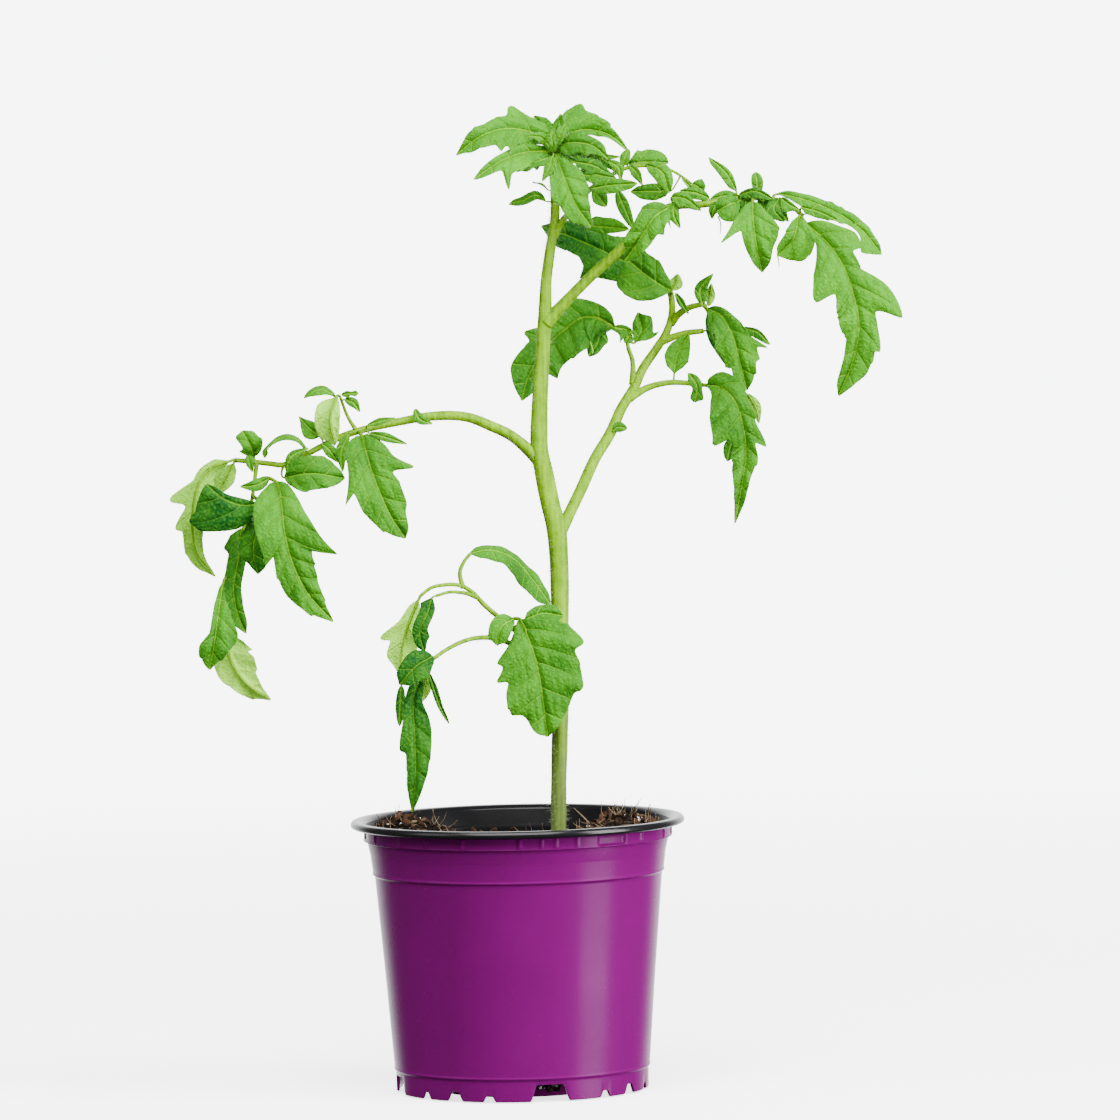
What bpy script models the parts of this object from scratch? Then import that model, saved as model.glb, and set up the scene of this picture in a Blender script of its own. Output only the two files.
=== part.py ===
"""Young tomato plant in a 12 cm nursery pot.

The pot stands on the ground plane with the centre of its base at the origin, +Z up. Dimensions
are in millimetres and are turned into metres by MM as each shape is made. The front is -Y.
"""
import math

import bmesh
import bpy
import numpy as np
from mathutils import Vector

MM = 0.001
GAP = 0.3                    # clearance between pieces that touch
BLADE = 0.6                  # thickness of a leaflet solid

# Driving dimensions of the pot
RIM_RADIUS = 60.0
POT_HEIGHT = 97.5
WALL = 1.2
BAND_RADIUS = 55.2           # stacking band under the rim
STEP_HEIGHT = 78.2           # where the wall steps in
STEP_RADIUS = 51.6
FOOT_RADIUS = 45.4
FOOT_HEIGHT = 7.7
BASE_RADIUS = 30.0           # flat disc that rests on the ground
CHANNEL_HEIGHT = 6.4         # raised ring between that disc and the foot
DRAIN_ANGLE = 13.0           # the first of four drain openings, from the front
DRAIN_WIDTH = 12.0
DRAIN_HEIGHT = 5.8
NOTCH_STEPS = (28, 45, 62)   # small foot notches, in degrees past each drain opening
NOTCH_WIDTH = 4.6
NOTCH_HEIGHT = 3.2

# Driving dimensions of the soil
SOIL_LEVEL = 87.0
SOIL_EDGE = 0.35             # how far the soil stands off the pot wall

TO_FRONT = (0, -1, 0.2)      # a leaflet whose upper side faces the front
TO_BACK = (0, 1, 0.2)        # a leaflet that shows its underside to the front

for old in list(bpy.data.objects):
    bpy.data.objects.remove(old, do_unlink=True)

plant = bpy.data.collections.new("tomato_plant_in_pot")
cutters = bpy.data.collections.new("cutters")
for group in (plant, cutters):
    bpy.context.scene.collection.children.link(group)


# ---------------------------------------------------------------- helpers

def finish(name, colour, roughness, specular=0.5):
    """A Principled material of one colour."""
    material = bpy.data.materials.new(name)
    material.use_nodes = True
    shader = material.node_tree.nodes["Principled BSDF"]
    shader.inputs["Base Color"].default_value = (*colour, 1)
    shader.inputs["Roughness"].default_value = roughness
    shader.inputs["Specular IOR Level"].default_value = specular
    return material


def add_object(name, mesh, material=None, collection=plant):
    """An object of its own for a mesh, in the plant's collection or among the cutters."""
    piece = bpy.data.objects.new(name, mesh)
    collection.objects.link(piece)
    if material:
        mesh.materials.append(material)
    if collection == cutters:
        piece.hide_render = True
        piece.display_type = "WIRE"
    return piece


def boolean(piece, operation, tool):
    """A Boolean of the piece with one tool from the cutters' collection."""
    modifier = piece.modifiers.new(operation.lower() + "_" + tool.name, "BOOLEAN")
    modifier.operation = operation
    modifier.object = tool
    modifier.solver = "EXACT"


def turned(name, profile, steps, material):
    """A solid of revolution about Z from a profile of (radius, height) pairs in mm."""
    mesh = bpy.data.meshes.new(name)
    points = [(radius * MM, 0, height * MM) for radius, height in profile]
    mesh.from_pydata(points, [(i, i + 1) for i in range(len(points) - 1)], [])
    piece = add_object(name, mesh, material)
    screw = piece.modifiers.new("turn", "SCREW")
    screw.axis = "Z"
    screw.steps = steps
    screw.render_steps = steps
    screw.use_merge_vertices = True
    screw.merge_threshold = 0.00001
    return piece


def along(points, count):
    """Points evenly spaced along a smooth curve through the given ones, and their distances.

    Each span is a cubic whose end slopes are those of the chord through its neighbours.
    """
    knots = np.array(points, float)
    spans = np.linalg.norm(np.diff(knots, axis=0), axis=1)
    at = np.concatenate([[0], np.cumsum(spans)])
    slopes = np.gradient(knots, at, axis=0)
    curve = cubic(at, knots, slopes, np.linspace(0, at[-1], count))
    steps = np.linalg.norm(np.diff(curve, axis=0), axis=1)
    return curve, np.concatenate([[0], np.cumsum(steps)])


def cubic(at, values, slopes, x):
    """Hermite cubic pieces through the values at the knots, with the given slopes."""
    i = np.clip(np.searchsorted(at, x) - 1, 0, len(at) - 2)
    span = at[i + 1] - at[i]
    f = np.clip((x - at[i]) / span, 0, 1)
    if values.ndim > 1:
        span, f = span[:, None], f[:, None]
    start = (1 + 2 * f) * (1 - f) ** 2 * values[i] + f * (1 - f) ** 2 * span * slopes[i]
    end = f * f * (3 - 2 * f) * values[i + 1] + f * f * (f - 1) * span * slopes[i + 1]
    return start + end


def tube(name, points, diameters, material=None, grow=0.0, collection=plant):
    """A round tapering rod through the points, as a closed mesh.

    The diameters are either the two ends' or one for each point. The rod is a poly curve with a
    round bevel and filled caps, turned into a mesh so that it can be joined and cut.
    """
    knots = np.array(points, float)
    at = np.concatenate([[0], np.cumsum(np.linalg.norm(np.diff(knots, axis=0), axis=1))])
    count = max(6, int(at[-1] / 7) + 1)
    middle, distance = along(points, count)
    sizes_at = at if len(diameters) == len(points) else (0, at[-1])
    sizes = np.interp(np.linspace(0, at[-1], count), sizes_at, diameters)
    curve = bpy.data.curves.new(name, "CURVE")
    curve.dimensions = "3D"
    curve.bevel_depth = MM
    curve.bevel_resolution = 2
    curve.use_fill_caps = True
    spline = curve.splines.new("POLY")
    spline.points.add(count - 1)
    for point, place, size in zip(spline.points, middle, sizes):
        point.co = (*(place * MM), 1)
        point.radius = size / 2 + grow
    rod = bpy.data.objects.new(name + "_curve", curve)
    bpy.context.scene.collection.objects.link(rod)
    bpy.context.view_layer.update()
    mesh = bpy.data.meshes.new_from_object(rod.evaluated_get(bpy.context.evaluated_depsgraph_get()))
    mesh.name = name
    body = bmesh.new()
    body.from_mesh(mesh)
    bmesh.ops.remove_doubles(body, verts=body.verts, dist=0.00001)
    bmesh.ops.recalc_face_normals(body, faces=body.faces)
    body.to_mesh(mesh)
    body.free()
    piece = add_object(name, mesh, material, collection)
    piece.matrix_world = rod.matrix_world
    bpy.data.objects.remove(rod, do_unlink=True)
    bpy.data.curves.remove(curve)
    return piece


purple_plastic = finish("purple_plastic", (0.25, 0.014, 0.23), 0.35)
peat = finish("peat", (0.03, 0.018, 0.011), 0.95, 0.2)
stem_skin = finish("stem_skin", (0.36, 0.48, 0.06), 0.5)
leaf_skin = finish("leaf_skin", (0.13, 0.38, 0.03), 0.55)


# ---------------------------------------------------------------- pot

def make_pot():
    """Thin-walled moulded pot: rolled rim, stacking band, tapering wall, foot ring and base."""
    step_inside = STEP_RADIUS - WALL
    foot_inside = FOOT_RADIUS - WALL
    profile = [
        (0, WALL), (BASE_RADIUS - 1, WALL), (BASE_RADIUS + 0.2, CHANNEL_HEIGHT + WALL),
        (foot_inside + 0.1, CHANNEL_HEIGHT + WALL),
        (step_inside, STEP_HEIGHT), (step_inside + 0.6, STEP_HEIGHT + 0.6),
        (BAND_RADIUS - WALL, 90.6), (BAND_RADIUS - WALL + 0.2, 95.4),
        (BAND_RADIUS + 0.2, POT_HEIGHT - 0.4), (BAND_RADIUS + 1.4, POT_HEIGHT),
        (RIM_RADIUS - 1.2, POT_HEIGHT), (RIM_RADIUS - 0.2, POT_HEIGHT - 0.6),
        (RIM_RADIUS, POT_HEIGHT - 1.4), (RIM_RADIUS - 0.2, POT_HEIGHT - 2.4),
        (RIM_RADIUS - 1, POT_HEIGHT - 2.9), (BAND_RADIUS + 0.3, POT_HEIGHT - 3),
        (BAND_RADIUS, POT_HEIGHT - 3.4), (BAND_RADIUS, 90.6), (BAND_RADIUS - 1.7, 90.2),
        (STEP_RADIUS + 0.5, STEP_HEIGHT + 0.3), (STEP_RADIUS, STEP_HEIGHT - 0.2),
        (FOOT_RADIUS + 0.4, FOOT_HEIGHT + 0.2), (FOOT_RADIUS, FOOT_HEIGHT - 0.2),
        (FOOT_RADIUS - 0.1, 0), (foot_inside - 0.1, 0), (foot_inside - 0.3, CHANNEL_HEIGHT - 0.4),
        (foot_inside - 0.8, CHANNEL_HEIGHT), (BASE_RADIUS + 1.6, CHANNEL_HEIGHT),
        (BASE_RADIUS + 1, CHANNEL_HEIGHT - 0.6), (BASE_RADIUS, 0), (0, 0)]
    pot = turned("pot", profile, 48, purple_plastic)
    for quarter in range(4):
        angle = DRAIN_ANGLE + 90 * quarter
        boolean(pot, "DIFFERENCE", foot_cutter(angle, DRAIN_WIDTH, DRAIN_HEIGHT))
        boolean(pot, "DIFFERENCE", drain_cutter(angle))
        for step in NOTCH_STEPS:
            low = NOTCH_HEIGHT if step == 45 else NOTCH_HEIGHT * 0.7
            boolean(pot, "DIFFERENCE", foot_cutter(angle + step, NOTCH_WIDTH, low))
    return pot


def foot_cutter(angle, width, height):
    """A box through the foot ring, narrower at its top, that leaves an opening of that height."""
    turn = math.radians(angle)
    depth, below = 6.0, 2.0
    body = bmesh.new()
    bmesh.ops.create_cube(body, size=1)
    for corner in body.verts:
        top = corner.co.z > 0
        across = corner.co.x * (width - (1.6 if top else 0))
        out = FOOT_RADIUS - 0.6 + corner.co.y * depth
        height_here = height if top else -below
        corner.co = Vector((math.sin(turn) * out - math.cos(turn) * across,
                            -math.cos(turn) * out - math.sin(turn) * across, height_here)) * MM
    return cutter_from(body, f"foot_notch_{int(angle) % 360}")


def drain_cutter(angle):
    """A box that opens the raised ring of the base above a wide foot notch."""
    turn = math.radians(angle)
    body = bmesh.new()
    bmesh.ops.create_cube(body, size=1)
    for corner in body.verts:
        across = corner.co.x * (DRAIN_WIDTH - 3)
        out = (BASE_RADIUS + FOOT_RADIUS) / 2 - 0.4 + corner.co.y * 9
        height_here = CHANNEL_HEIGHT + WALL / 2 + corner.co.z * 4
        corner.co = Vector((math.sin(turn) * out - math.cos(turn) * across,
                            -math.cos(turn) * out - math.sin(turn) * across, height_here)) * MM
    return cutter_from(body, f"drain_hole_{int(angle) % 360}")


def cutter_from(body, name):
    """The cutter object for a finished bmesh."""
    mesh = bpy.data.meshes.new(name)
    body.to_mesh(mesh)
    body.free()
    return add_object(name, mesh, collection=cutters)


make_pot()

# ---------------------------------------------------------------- stem and petioles

STEM = [(14.8, 0, 58), (14.8, 0, 76), (14.8, 0, 92.8), (15.2, 0, 110.7), (15.8, 0, 125),
        (16.3, 0, 139), (16.5, 0, 161), (16.6, 0, 175), (16.4, 0, 190), (15.9, 0, 200),
        (13.7, 0, 211), (11.7, 0, 222), (10.5, 0, 229), (10.6, 0, 240), (11.5, 0, 254),
        (12.4, 0, 265), (13.4, 0, 276), (14.2, 0, 290), (15.9, 0, 301), (17.7, 0, 312),
        (17.3, 0, 330), (16.8, 0, 337), (17.4, 0, 348)]
STEM_DIAMETERS = [3, 5, 5.6, 5.6, 5.7, 5.9, 6.1, 6.2, 6.4, 6.2, 6, 5.9, 5.8, 5.6, 5, 4.7, 4.5, 3.5,
                  3.3, 3, 2.6, 2.4, 1.4]

tube("stem", STEM, STEM_DIAMETERS, stem_skin)
room_start = (STEM[0][0], 0, STEM[0][2] - GAP)
stem_room = tube("stem_room", [room_start] + STEM[1:], STEM_DIAMETERS, grow=GAP, collection=cutters)


def petiole(name, points, diameters, *branches):
    """A leaf stalk that meets the stem, with its side stalks grown onto it."""
    stalk = tube(name, points, diameters, stem_skin)
    for number, (side_points, side_diameters) in enumerate(branches, start=1):
        side = tube(f"{name}_branch_{number}", side_points, side_diameters, collection=cutters)
        boolean(stalk, "UNION", side)
    boolean(stalk, "DIFFERENCE", stem_room)
    return stalk


petiole("left_petiole", [(8, -0.5, 227), (0, -3, 235), (-7, -5, 238.5), (-14, -8, 241.5),
                         (-28, -13, 242.5), (-38.5, -15.5, 241), (-51.5, -17.5, 238.5), (-58.5, -18, 236.5),
                         (-67.5, -19.5, 232.5), (-74.5, -20, 229), (-80.5, -20, 226.5), (-85.5, -20, 227),
                         (-92.5, -20, 228), (-98, -20, 228.5)], (3.6, 1.6),
        ([(-54, -18, 237.5), (-57.5, -18.5, 243.5), (-59, -18.5, 247.5), (-60, -19.5, 250.5)],
         (1.4, 1.0)))
petiole("upper_petiole", [(14, -0.5, 276.5), (19, -1, 280), (26, -2.5, 287), (33.5, -4.5, 294),
                          (41, -7.5, 300.5), (48, -10.5, 307), (58, -12, 315), (70, -13, 316),
                          (83.5, -13, 317.5), (90.5, -13.5, 318), (101.5, -14.5, 315),
                          (105.5, -18.5, 311.5)], (3.3, 1.5))
petiole("right_petiole", [(17.5, 0.5, 200.5), (20, 1, 206), (25, 3.5, 215), (30, 5.5, 225),
                          (36, 9.5, 234.5), (40, 12.5, 243.5), (44, 15.5, 250.5), (47, 18.5, 257.5),
                          (51.5, 21.5, 263.5), (56.5, 23, 269.5), (59.5, 24, 275.5), (60, 25.5, 281.5),
                          (59, 26.5, 285)], (3.7, 2.0),
        ([(45.5, 17, 255.5), (44.5, 17.5, 260.5), (43, 18, 265.5), (43, 18.5, 268),
          (40.5, 18, 271)], (1.7, 1.2)),
        ([(44, 15.5, 249.5), (51, 16, 251.5), (57, 15.5, 252.5), (64, 14.5, 252), (69, 13, 251)],
         (2.0, 1.3)),
        ([(57, 23, 269), (64.5, 22.5, 270), (70.5, 22, 270.5)], (2.0, 1.5)),
        ([(59.5, 24, 274), (62, 22, 276), (65.5, 20, 278), (70, 18, 279)], (1.9, 1.5)))
petiole("lower_petiole", [(15.5, -1, 154), (9, -6.5, 159.5), (2, -12, 164.5), (-4.5, -16, 170),
                          (-10, -18.5, 175), (-15, -21.5, 180.5), (-18.5, -23.5, 182.5),
                          (-23.5, -25.5, 183), (-29, -26.5, 182), (-32.5, -27.5, 179.5)],
        (2.6, 1.2),
        ([(-18.5, -23.5, 182), (-18.5, -24, 187.5), (-17, -24.5, 191), (-15.5, -25, 193)],
         (1.6, 1.2)),
        ([(-12.5, -20, 178), (-17.5, -25, 180), (-22.5, -28, 180.5), (-26, -30, 180)],
         (1.5, 1.1)))
petiole("lowest_petiole", [(15.5, -1, 147), (9, -6, 153.5), (2, -11.5, 159), (-8, -20.5, 163.5),
                           (-15.5, -26.5, 163.5), (-22.5, -31, 161), (-28, -33, 157.5)],
        (2.3, 1.4))
petiole("young_petiole", [(17.5, 0, 307.5), (20, -1, 310.5), (24, -1.5, 315),
                          (30.5, -3.5, 322), (38, -7, 327), (44, -8, 329.5), (52, -8, 330),
                          (60, -6.5, 328), (66, -5, 324)], (2.4, 0.9))


# ---------------------------------------------------------------- potting soil

def heap(x, y):
    """Height of the soil surface over SOIL_LEVEL: banked up at the left, right and back right."""
    left = 8.5 * math.exp(-((x + 40) / 15) ** 2 - ((y - 16) / 26) ** 2)
    right = 9.0 * math.exp(-((x - 38) / 17) ** 2 - ((y - 6) / 30) ** 2)
    ripple = 0.5 * math.sin(x * 0.31 + 1) * math.cos(y * 0.27)
    return left + right + ripple


def make_soil():
    """Peat that fills the pot down to its base, with an uneven top and a hole for the stem."""
    wall_at_top = BAND_RADIUS - WALL - 1.9
    profile = [(0, SOIL_LEVEL)]
    profile += [(radius, SOIL_LEVEL) for radius in (9, 18, 27, 35, 42, 48)]
    profile += [(wall_at_top - SOIL_EDGE, SOIL_LEVEL), (STEP_RADIUS - WALL - SOIL_EDGE, STEP_HEIGHT),
                (FOOT_RADIUS - WALL - SOIL_EDGE, CHANNEL_HEIGHT + WALL + GAP + 0.2),
                (BASE_RADIUS - 0.3, CHANNEL_HEIGHT + WALL + GAP + 0.2),
                (BASE_RADIUS - 1.6, WALL + GAP + 0.2), (0, WALL + GAP + 0.2)]
    soil = turned("potting_soil", profile, 40, peat)
    bpy.context.view_layer.update()
    shaped = bpy.data.meshes.new_from_object(
        soil.evaluated_get(bpy.context.evaluated_depsgraph_get()))
    soil.modifiers.clear()
    soil.data = shaped
    for vertex in shaped.vertices:
        if vertex.co.z > (SOIL_LEVEL - 1) * MM:
            vertex.co.z += heap(vertex.co.x / MM, vertex.co.y / MM) * MM
    boolean(soil, "DIFFERENCE", stem_room)
    return soil


make_soil()


# ---------------------------------------------------------------- leaflets

def half_width(outline, length, sweep, rows):
    """Half-width of a leaflet at each row, from the outline's few (distance, width) points.

    Distances are fractions of the midrib. A row runs forward from the midrib at the sweep angle,
    as the side veins do, so an outline point belongs to the row that passes through it. Between
    points the edge is a cubic that never overshoots them.
    """
    at, width = [0.0], [0.5]
    for distance, out in outline:
        row = distance - out * math.tan(math.radians(sweep)) / length
        if row <= 0.012:
            if len(at) == 1:
                width[0] = max(width[0], out)
            continue
        at.append(max(row, at[-1] + 0.012))
        width.append(out)
    at.append(max(1.0, at[-1] + 0.02))
    width.append(0.3)
    at, width = np.array(at), np.array(width)
    rise = np.diff(width) / np.diff(at)
    slopes = np.concatenate([[rise[0]], np.zeros(len(at) - 2), [rise[-1]]])
    same = np.nonzero(rise[:-1] * rise[1:] > 0)[0]
    slopes[same + 1] = 2 * rise[same] * rise[same + 1] / (rise[same] + rise[same + 1])
    return np.maximum(cubic(at, width, slopes, rows), 0.3)


def blade(rib, face, right, left, fold, sweep, rows, columns):
    """Grid of points on a leaflet, one row of points per side-vein position.

    A point lies at a distance u along the midrib and w to its side: the midrib's point at u, plus
    w times the sideways direction there, raised by the fold angle. Sideways is the midrib's
    direction crossed with the way the upper side faces, so the right half is w > 0.
    """
    middle, distance = along(rib, 64)
    length = distance[-1]
    heading = np.gradient(middle, distance, axis=0)
    heading /= np.linalg.norm(heading, axis=1)[:, None]
    side, row = np.meshgrid(columns, rows)
    widths = np.where(side > 0, half_width(right, length, sweep, rows)[:, None],
                      half_width(left, length, sweep, rows)[:, None])
    out = np.abs(side) * widths
    u = row * length + out * math.tan(math.radians(sweep))
    on_rib = np.clip(u, 0, length)
    place = np.stack([np.interp(on_rib, distance, middle[:, axis]) for axis in range(3)], -1)
    forward = np.stack([np.interp(on_rib, distance, heading[:, axis]) for axis in range(3)], -1)
    place = place + forward * (u - on_rib)[..., None]
    sideways = np.cross(forward, np.array(face, float))
    sideways /= np.linalg.norm(sideways, axis=-1)[..., None]
    up = np.cross(sideways, forward)
    tilt = math.radians(fold)
    return (place + sideways * (np.sign(side) * out * math.cos(tilt))[..., None]
            + up * (out * math.sin(tilt))[..., None])


def leaflet(name, face, rib, right, left=None, fold=8, sweep=40):
    """One leaflet: a grid shaped by blade() and given its thickness by Solidify."""
    length = sum(math.dist(a, b) for a, b in zip(rib, rib[1:]))
    rows = np.linspace(0, 1, int(min(max(length / 4, 4), 13)) + 1)
    wide = max(out for _, out in right) > 3
    columns = np.linspace(-1, 1, 5 if wide else 3)
    points = blade(rib, face, right, left or right, fold, sweep, rows, columns)
    body = bmesh.new()
    bmesh.ops.create_grid(body, x_segments=len(columns) - 1, y_segments=len(rows) - 1, size=1)
    body.verts.ensure_lookup_table()
    for vertex, place in zip(body.verts, points.reshape(-1, 3)):
        vertex.co = Vector(place) * MM
    mesh = bpy.data.meshes.new(name)
    body.to_mesh(mesh)
    body.free()
    piece = add_object(name, mesh, leaf_skin)
    solidify = piece.modifiers.new("thickness", "SOLIDIFY")
    solidify.thickness = BLADE * MM
    solidify.offset = 0
    return piece


leaflet("left_leaflet_01", TO_BACK, rib=[(-100, -24, 228.5), (-108, -28.5, 225), (-112, -31, 215.5),
    (-113, -31, 204.5), (-111, -28.5, 195.5), (-105.5, -26.5, 188)], right=[(0.1, 3.5), (0.25, 5),
    (0.4, 4), (0.55, 3.8), (0.7, 3.2), (0.85, 1.6)], left=[(0.1, 2.2), (0.28, 2.2), (0.43, 8.5),
    (0.47, 2.6), (0.6, 6), (0.64, 3.6), (0.78, 4), (0.88, 3)])
leaflet("left_leaflet_02", TO_FRONT, rib=[(-90.5, -23, 230.5), (-91.5, -25.5, 234),
    (-93.5, -25.5, 238.5)], right=[(0.15, 1.8), (0.5, 4.8), (0.7, 4.6), (0.9, 2.2)], left=[(0.15, 1.6),
    (0.45, 4.2), (0.6, 2.8), (0.85, 3.2)])
leaflet("left_leaflet_03", TO_FRONT, rib=[(-90, -32, 212.5), (-96.5, -38.5, 213),
    (-102.5, -40.5, 210.5), (-106.5, -38.5, 204)], right=[(0.15, 2.5), (0.4, 4), (0.62, 7), (0.84, 11),
    (0.95, 8.5)], left=[(0.2, 3.5), (0.5, 6), (0.8, 5)])
leaflet("left_leaflet_05", TO_FRONT, rib=[(-83, -28.5, 221.5), (-81, -37.5, 214), (-80, -42, 204.5),
    (-78, -42, 195), (-73, -39.5, 183), (-63.5, -33, 171)], right=[(0.06, 3.5), (0.2, 6.5), (0.36, 7.4),
    (0.5, 7.2), (0.66, 6.5), (0.78, 4.5), (0.9, 2)], left=[(0.06, 3.8), (0.15, 6.6), (0.27, 11.2),
    (0.45, 15.5), (0.56, 18.2), (0.42, 7.4), (0.56, 8.6), (0.68, 7.2), (0.8, 4.4), (0.91, 2)])
leaflet("left_leaflet_06", TO_FRONT, rib=[(-87, -29.5, 213.5), (-90, -34, 204.5), (-91.5, -34, 197),
    (-90, -32, 188.5)], right=[(0.15, 2.5), (0.4, 4.2), (0.7, 5), (0.8, 3)], left=[(0.3, 1.6),
    (0.6, 3.6), (0.85, 4.2)])
leaflet("left_leaflet_07", TO_FRONT, rib=[(-96, -22, 204.5), (-97, -25.5, 194.5), (-99, -26.5, 182.5),
    (-97.5, -26.5, 173.5), (-95, -24, 167)], right=[(0.08, 3.8), (0.2, 5.5), (0.27, 3.6), (0.5, 3.8),
    (0.75, 5.5), (0.9, 2.2)], left=[(0.06, 4), (0.2, 3.4), (0.4, 2.8), (0.6, 2.8), (0.85, 2.4)])
leaflet("left_leaflet_08", TO_FRONT, rib=[(-102.5, -33, 186), (-104, -44, 174.5), (-105.5, -46, 165),
    (-107.5, -44, 155.5)], right=[(0.1, 1.2), (0.4, 2), (0.62, 2.2), (0.76, 5), (0.92, 3)],
    left=[(0.2, 1.4), (0.4, 4), (0.62, 8), (0.8, 4.8), (0.92, 2)])
leaflet("left_leaflet_09", TO_BACK, rib=[(-103, -15.5, 168), (-101, -17.5, 157), (-96.5, -18.5, 149.5),
    (-87, -17.5, 143)], right=[(0.15, 6), (0.3, 8.6), (0.33, 6.8), (0.45, 8.4), (0.7, 5), (0.88, 2)],
    left=[(0.2, 5), (0.4, 6.5), (0.62, 4.8), (0.8, 3.6), (0.92, 1.6)])
leaflet("left_leaflet_10", TO_FRONT, rib=[(-80.5, -31, 222.5), (-70, -36.5, 224), (-58.5, -33, 222)],
    right=[(0.08, 3), (0.35, 6.4), (0.7, 5), (0.9, 2.6)], left=[(0.05, 3.2), (0.25, 6), (0.6, 6.2),
    (0.85, 4)])
leaflet("left_leaflet_11", TO_FRONT, rib=[(-85.5, -27.5, 222), (-90, -31, 220), (-95.5, -29.5, 219.5)],
    right=[(0.12, 1.265), (0.45, 2.3), (0.85, 1.035)])
leaflet("left_leaflet_12", TO_FRONT, rib=[(-52.5, -24, 237), (-51, -31, 231.5), (-47.5, -35, 220.5),
    (-43, -35, 209.5), (-37.5, -31, 200)], right=[(0.08, 4), (0.2, 7), (0.35, 8.4), (0.46, 10.5),
    (0.56, 13), (0.5, 8), (0.68, 6.5), (0.8, 4.6), (0.9, 2.6)], left=[(0.05, 3), (0.2, 7), (0.32, 11),
    (0.45, 14.2), (0.43, 6.8), (0.55, 8.3), (0.7, 7.6), (0.85, 4.8), (0.94, 2.4)])
leaflet("left_leaflet_14", (0, -0.6, 1), rib=[(-61.5, -20, 251), (-66.5, -22, 253),
    (-72.5, -23, 250.5)], right=[(0.2, 2.6), (0.5, 3.2), (0.8, 2)], left=[(0.2, 2.6), (0.5, 3.2),
    (0.8, 2)])
leaflet("left_leaflet_15", TO_BACK, rib=[(-62, -22, 249.5), (-63.5, -26.5, 242), (-61.5, -24, 232.5)],
    right=[(0.1, 2.5), (0.4, 4.3), (0.8, 2.4)], left=[(0.1, 3), (0.4, 5), (0.7, 4.6), (0.9, 1.8)])
leaflet("left_leaflet_16", TO_FRONT, rib=[(-67, -21, 236.5), (-70.5, -23, 239), (-74.5, -22, 243.5)],
    right=[(0.2, 3), (0.5, 4), (0.8, 2)], left=[(0.15, 2.6), (0.45, 3.4), (0.8, 1.8)])
leaflet("left_leaflet_17", (0, -0.4, 1), rib=[(-72, -24, 232), (-75, -25.5, 235.5),
    (-79.5, -26.5, 236.5), (-83.5, -26.5, 235), (-86.5, -25.5, 232), (-87, -25.5, 229.5)],
    right=[(0.12, 0.99), (0.3, 1.8), (0.85, 0.81)])
leaflet("front_leaflet_01", TO_FRONT, rib=[(2, -18.5, 170), (6, -20.5, 161.5), (8.5, -20, 152.5),
    (10, -19.5, 142.5), (11, -17, 129.5)], right=[(0.15, 6.5), (0.29, 13.2), (0.34, 11.6), (0.48, 14.6),
    (0.51, 11), (0.62, 12.4), (0.78, 11.4), (0.79, 7.6), (0.93, 4.2)], left=[(0.19, 14), (0.33, 17.5),
    (0.37, 13.4), (0.46, 14), (0.6, 14), (0.68, 10.4), (0.86, 5.6)], sweep=30)
leaflet("front_leaflet_03", TO_FRONT, rib=[(0.5, -17.5, 169.5), (-3.5, -21.5, 167), (-5.5, -22, 161.5)],
    right=[(0.15, 2.4), (0.45, 3.4), (0.8, 2.8)], left=[(0.15, 2), (0.5, 3.2), (0.8, 2.6)])
leaflet("lower_leaflet_01", (0.3, -0.75, 0.65), rib=[(-15, -24.5, 194), (-8, -22, 195),
    (-0.5, -18, 191.5), (6.5, -14, 183), (12, -12, 176)], right=[(0.12, 2.6), (0.35, 3.6), (0.65, 4.4),
    (0.9, 3)], left=[(0.12, 2.4), (0.35, 3.2), (0.65, 3.8), (0.9, 2.6)], fold=-15)
leaflet("lower_leaflet_02", TO_BACK, rib=[(-33.5, -28.5, 178), (-37, -32, 170), (-39.5, -33, 161),
    (-40.5, -32, 152)], right=[(0.1, 1.6), (0.3, 3.6), (0.55, 4.8), (0.8, 4.2)], left=[(0.12, 1.6),
    (0.35, 3), (0.58, 7.7), (0.62, 4.2), (0.75, 4.6), (0.9, 2)])
leaflet("lower_leaflet_03", TO_FRONT, rib=[(-28.5, -32, 179), (-30, -34, 174), (-33, -35, 167),
    (-31.5, -34, 160)], right=[(0.15, 3), (0.25, 2.6), (0.55, 2.3), (0.85, 1.8)], left=[(0.2, 1.8),
    (0.5, 2), (0.75, 3), (0.85, 1.6)])
leaflet("lowest_leaflet_01", TO_FRONT, rib=[(-28.5, -37.5, 158.5), (-34.5, -43, 155.5),
    (-40.5, -42, 149)], right=[(0.12, 2.6), (0.4, 4.6), (0.8, 3)], left=[(0.1, 1.8), (0.45, 5.4),
    (0.8, 3)])
leaflet("lowest_leaflet_02", TO_FRONT, rib=[(-31.5, -34, 154), (-35.5, -36.5, 144.5),
    (-35.5, -38.5, 131), (-35.5, -37.5, 117), (-37, -35, 105)], right=[(0.12, 2), (0.32, 3),
    (0.48, 4.6), (0.56, 5.2), (0.6, 3), (0.8, 2.4)], left=[(0.12, 1.8), (0.22, 2.6), (0.36, 5),
    (0.5, 5.6), (0.65, 4.5), (0.82, 2.6)])
leaflet("right_leaflet_01", TO_FRONT, rib=[(38.5, 17, 272), (33, 17.5, 275.5), (27, 16, 276),
    (20, 14.5, 271.5), (12, 14.5, 263.5), (7, 15, 255), (4.5, 15, 246.5)], right=[(0.05, 1.6),
    (0.2, 4.8), (0.3, 6), (0.42, 5.4), (0.55, 4.2), (0.66, 7.6), (0.64, 4.4), (0.76, 6.3), (0.86, 4.6),
    (0.95, 2)], left=[(0.06, 7), (0.135, 12.3), (0.22, 13.4), (0.3, 13.4), (0.31, 9.3), (0.4, 9.5),
    (0.5, 8.8), (0.68, 9.4), (0.68, 6.5), (0.8, 5), (0.93, 3.2)], sweep=20)
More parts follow.
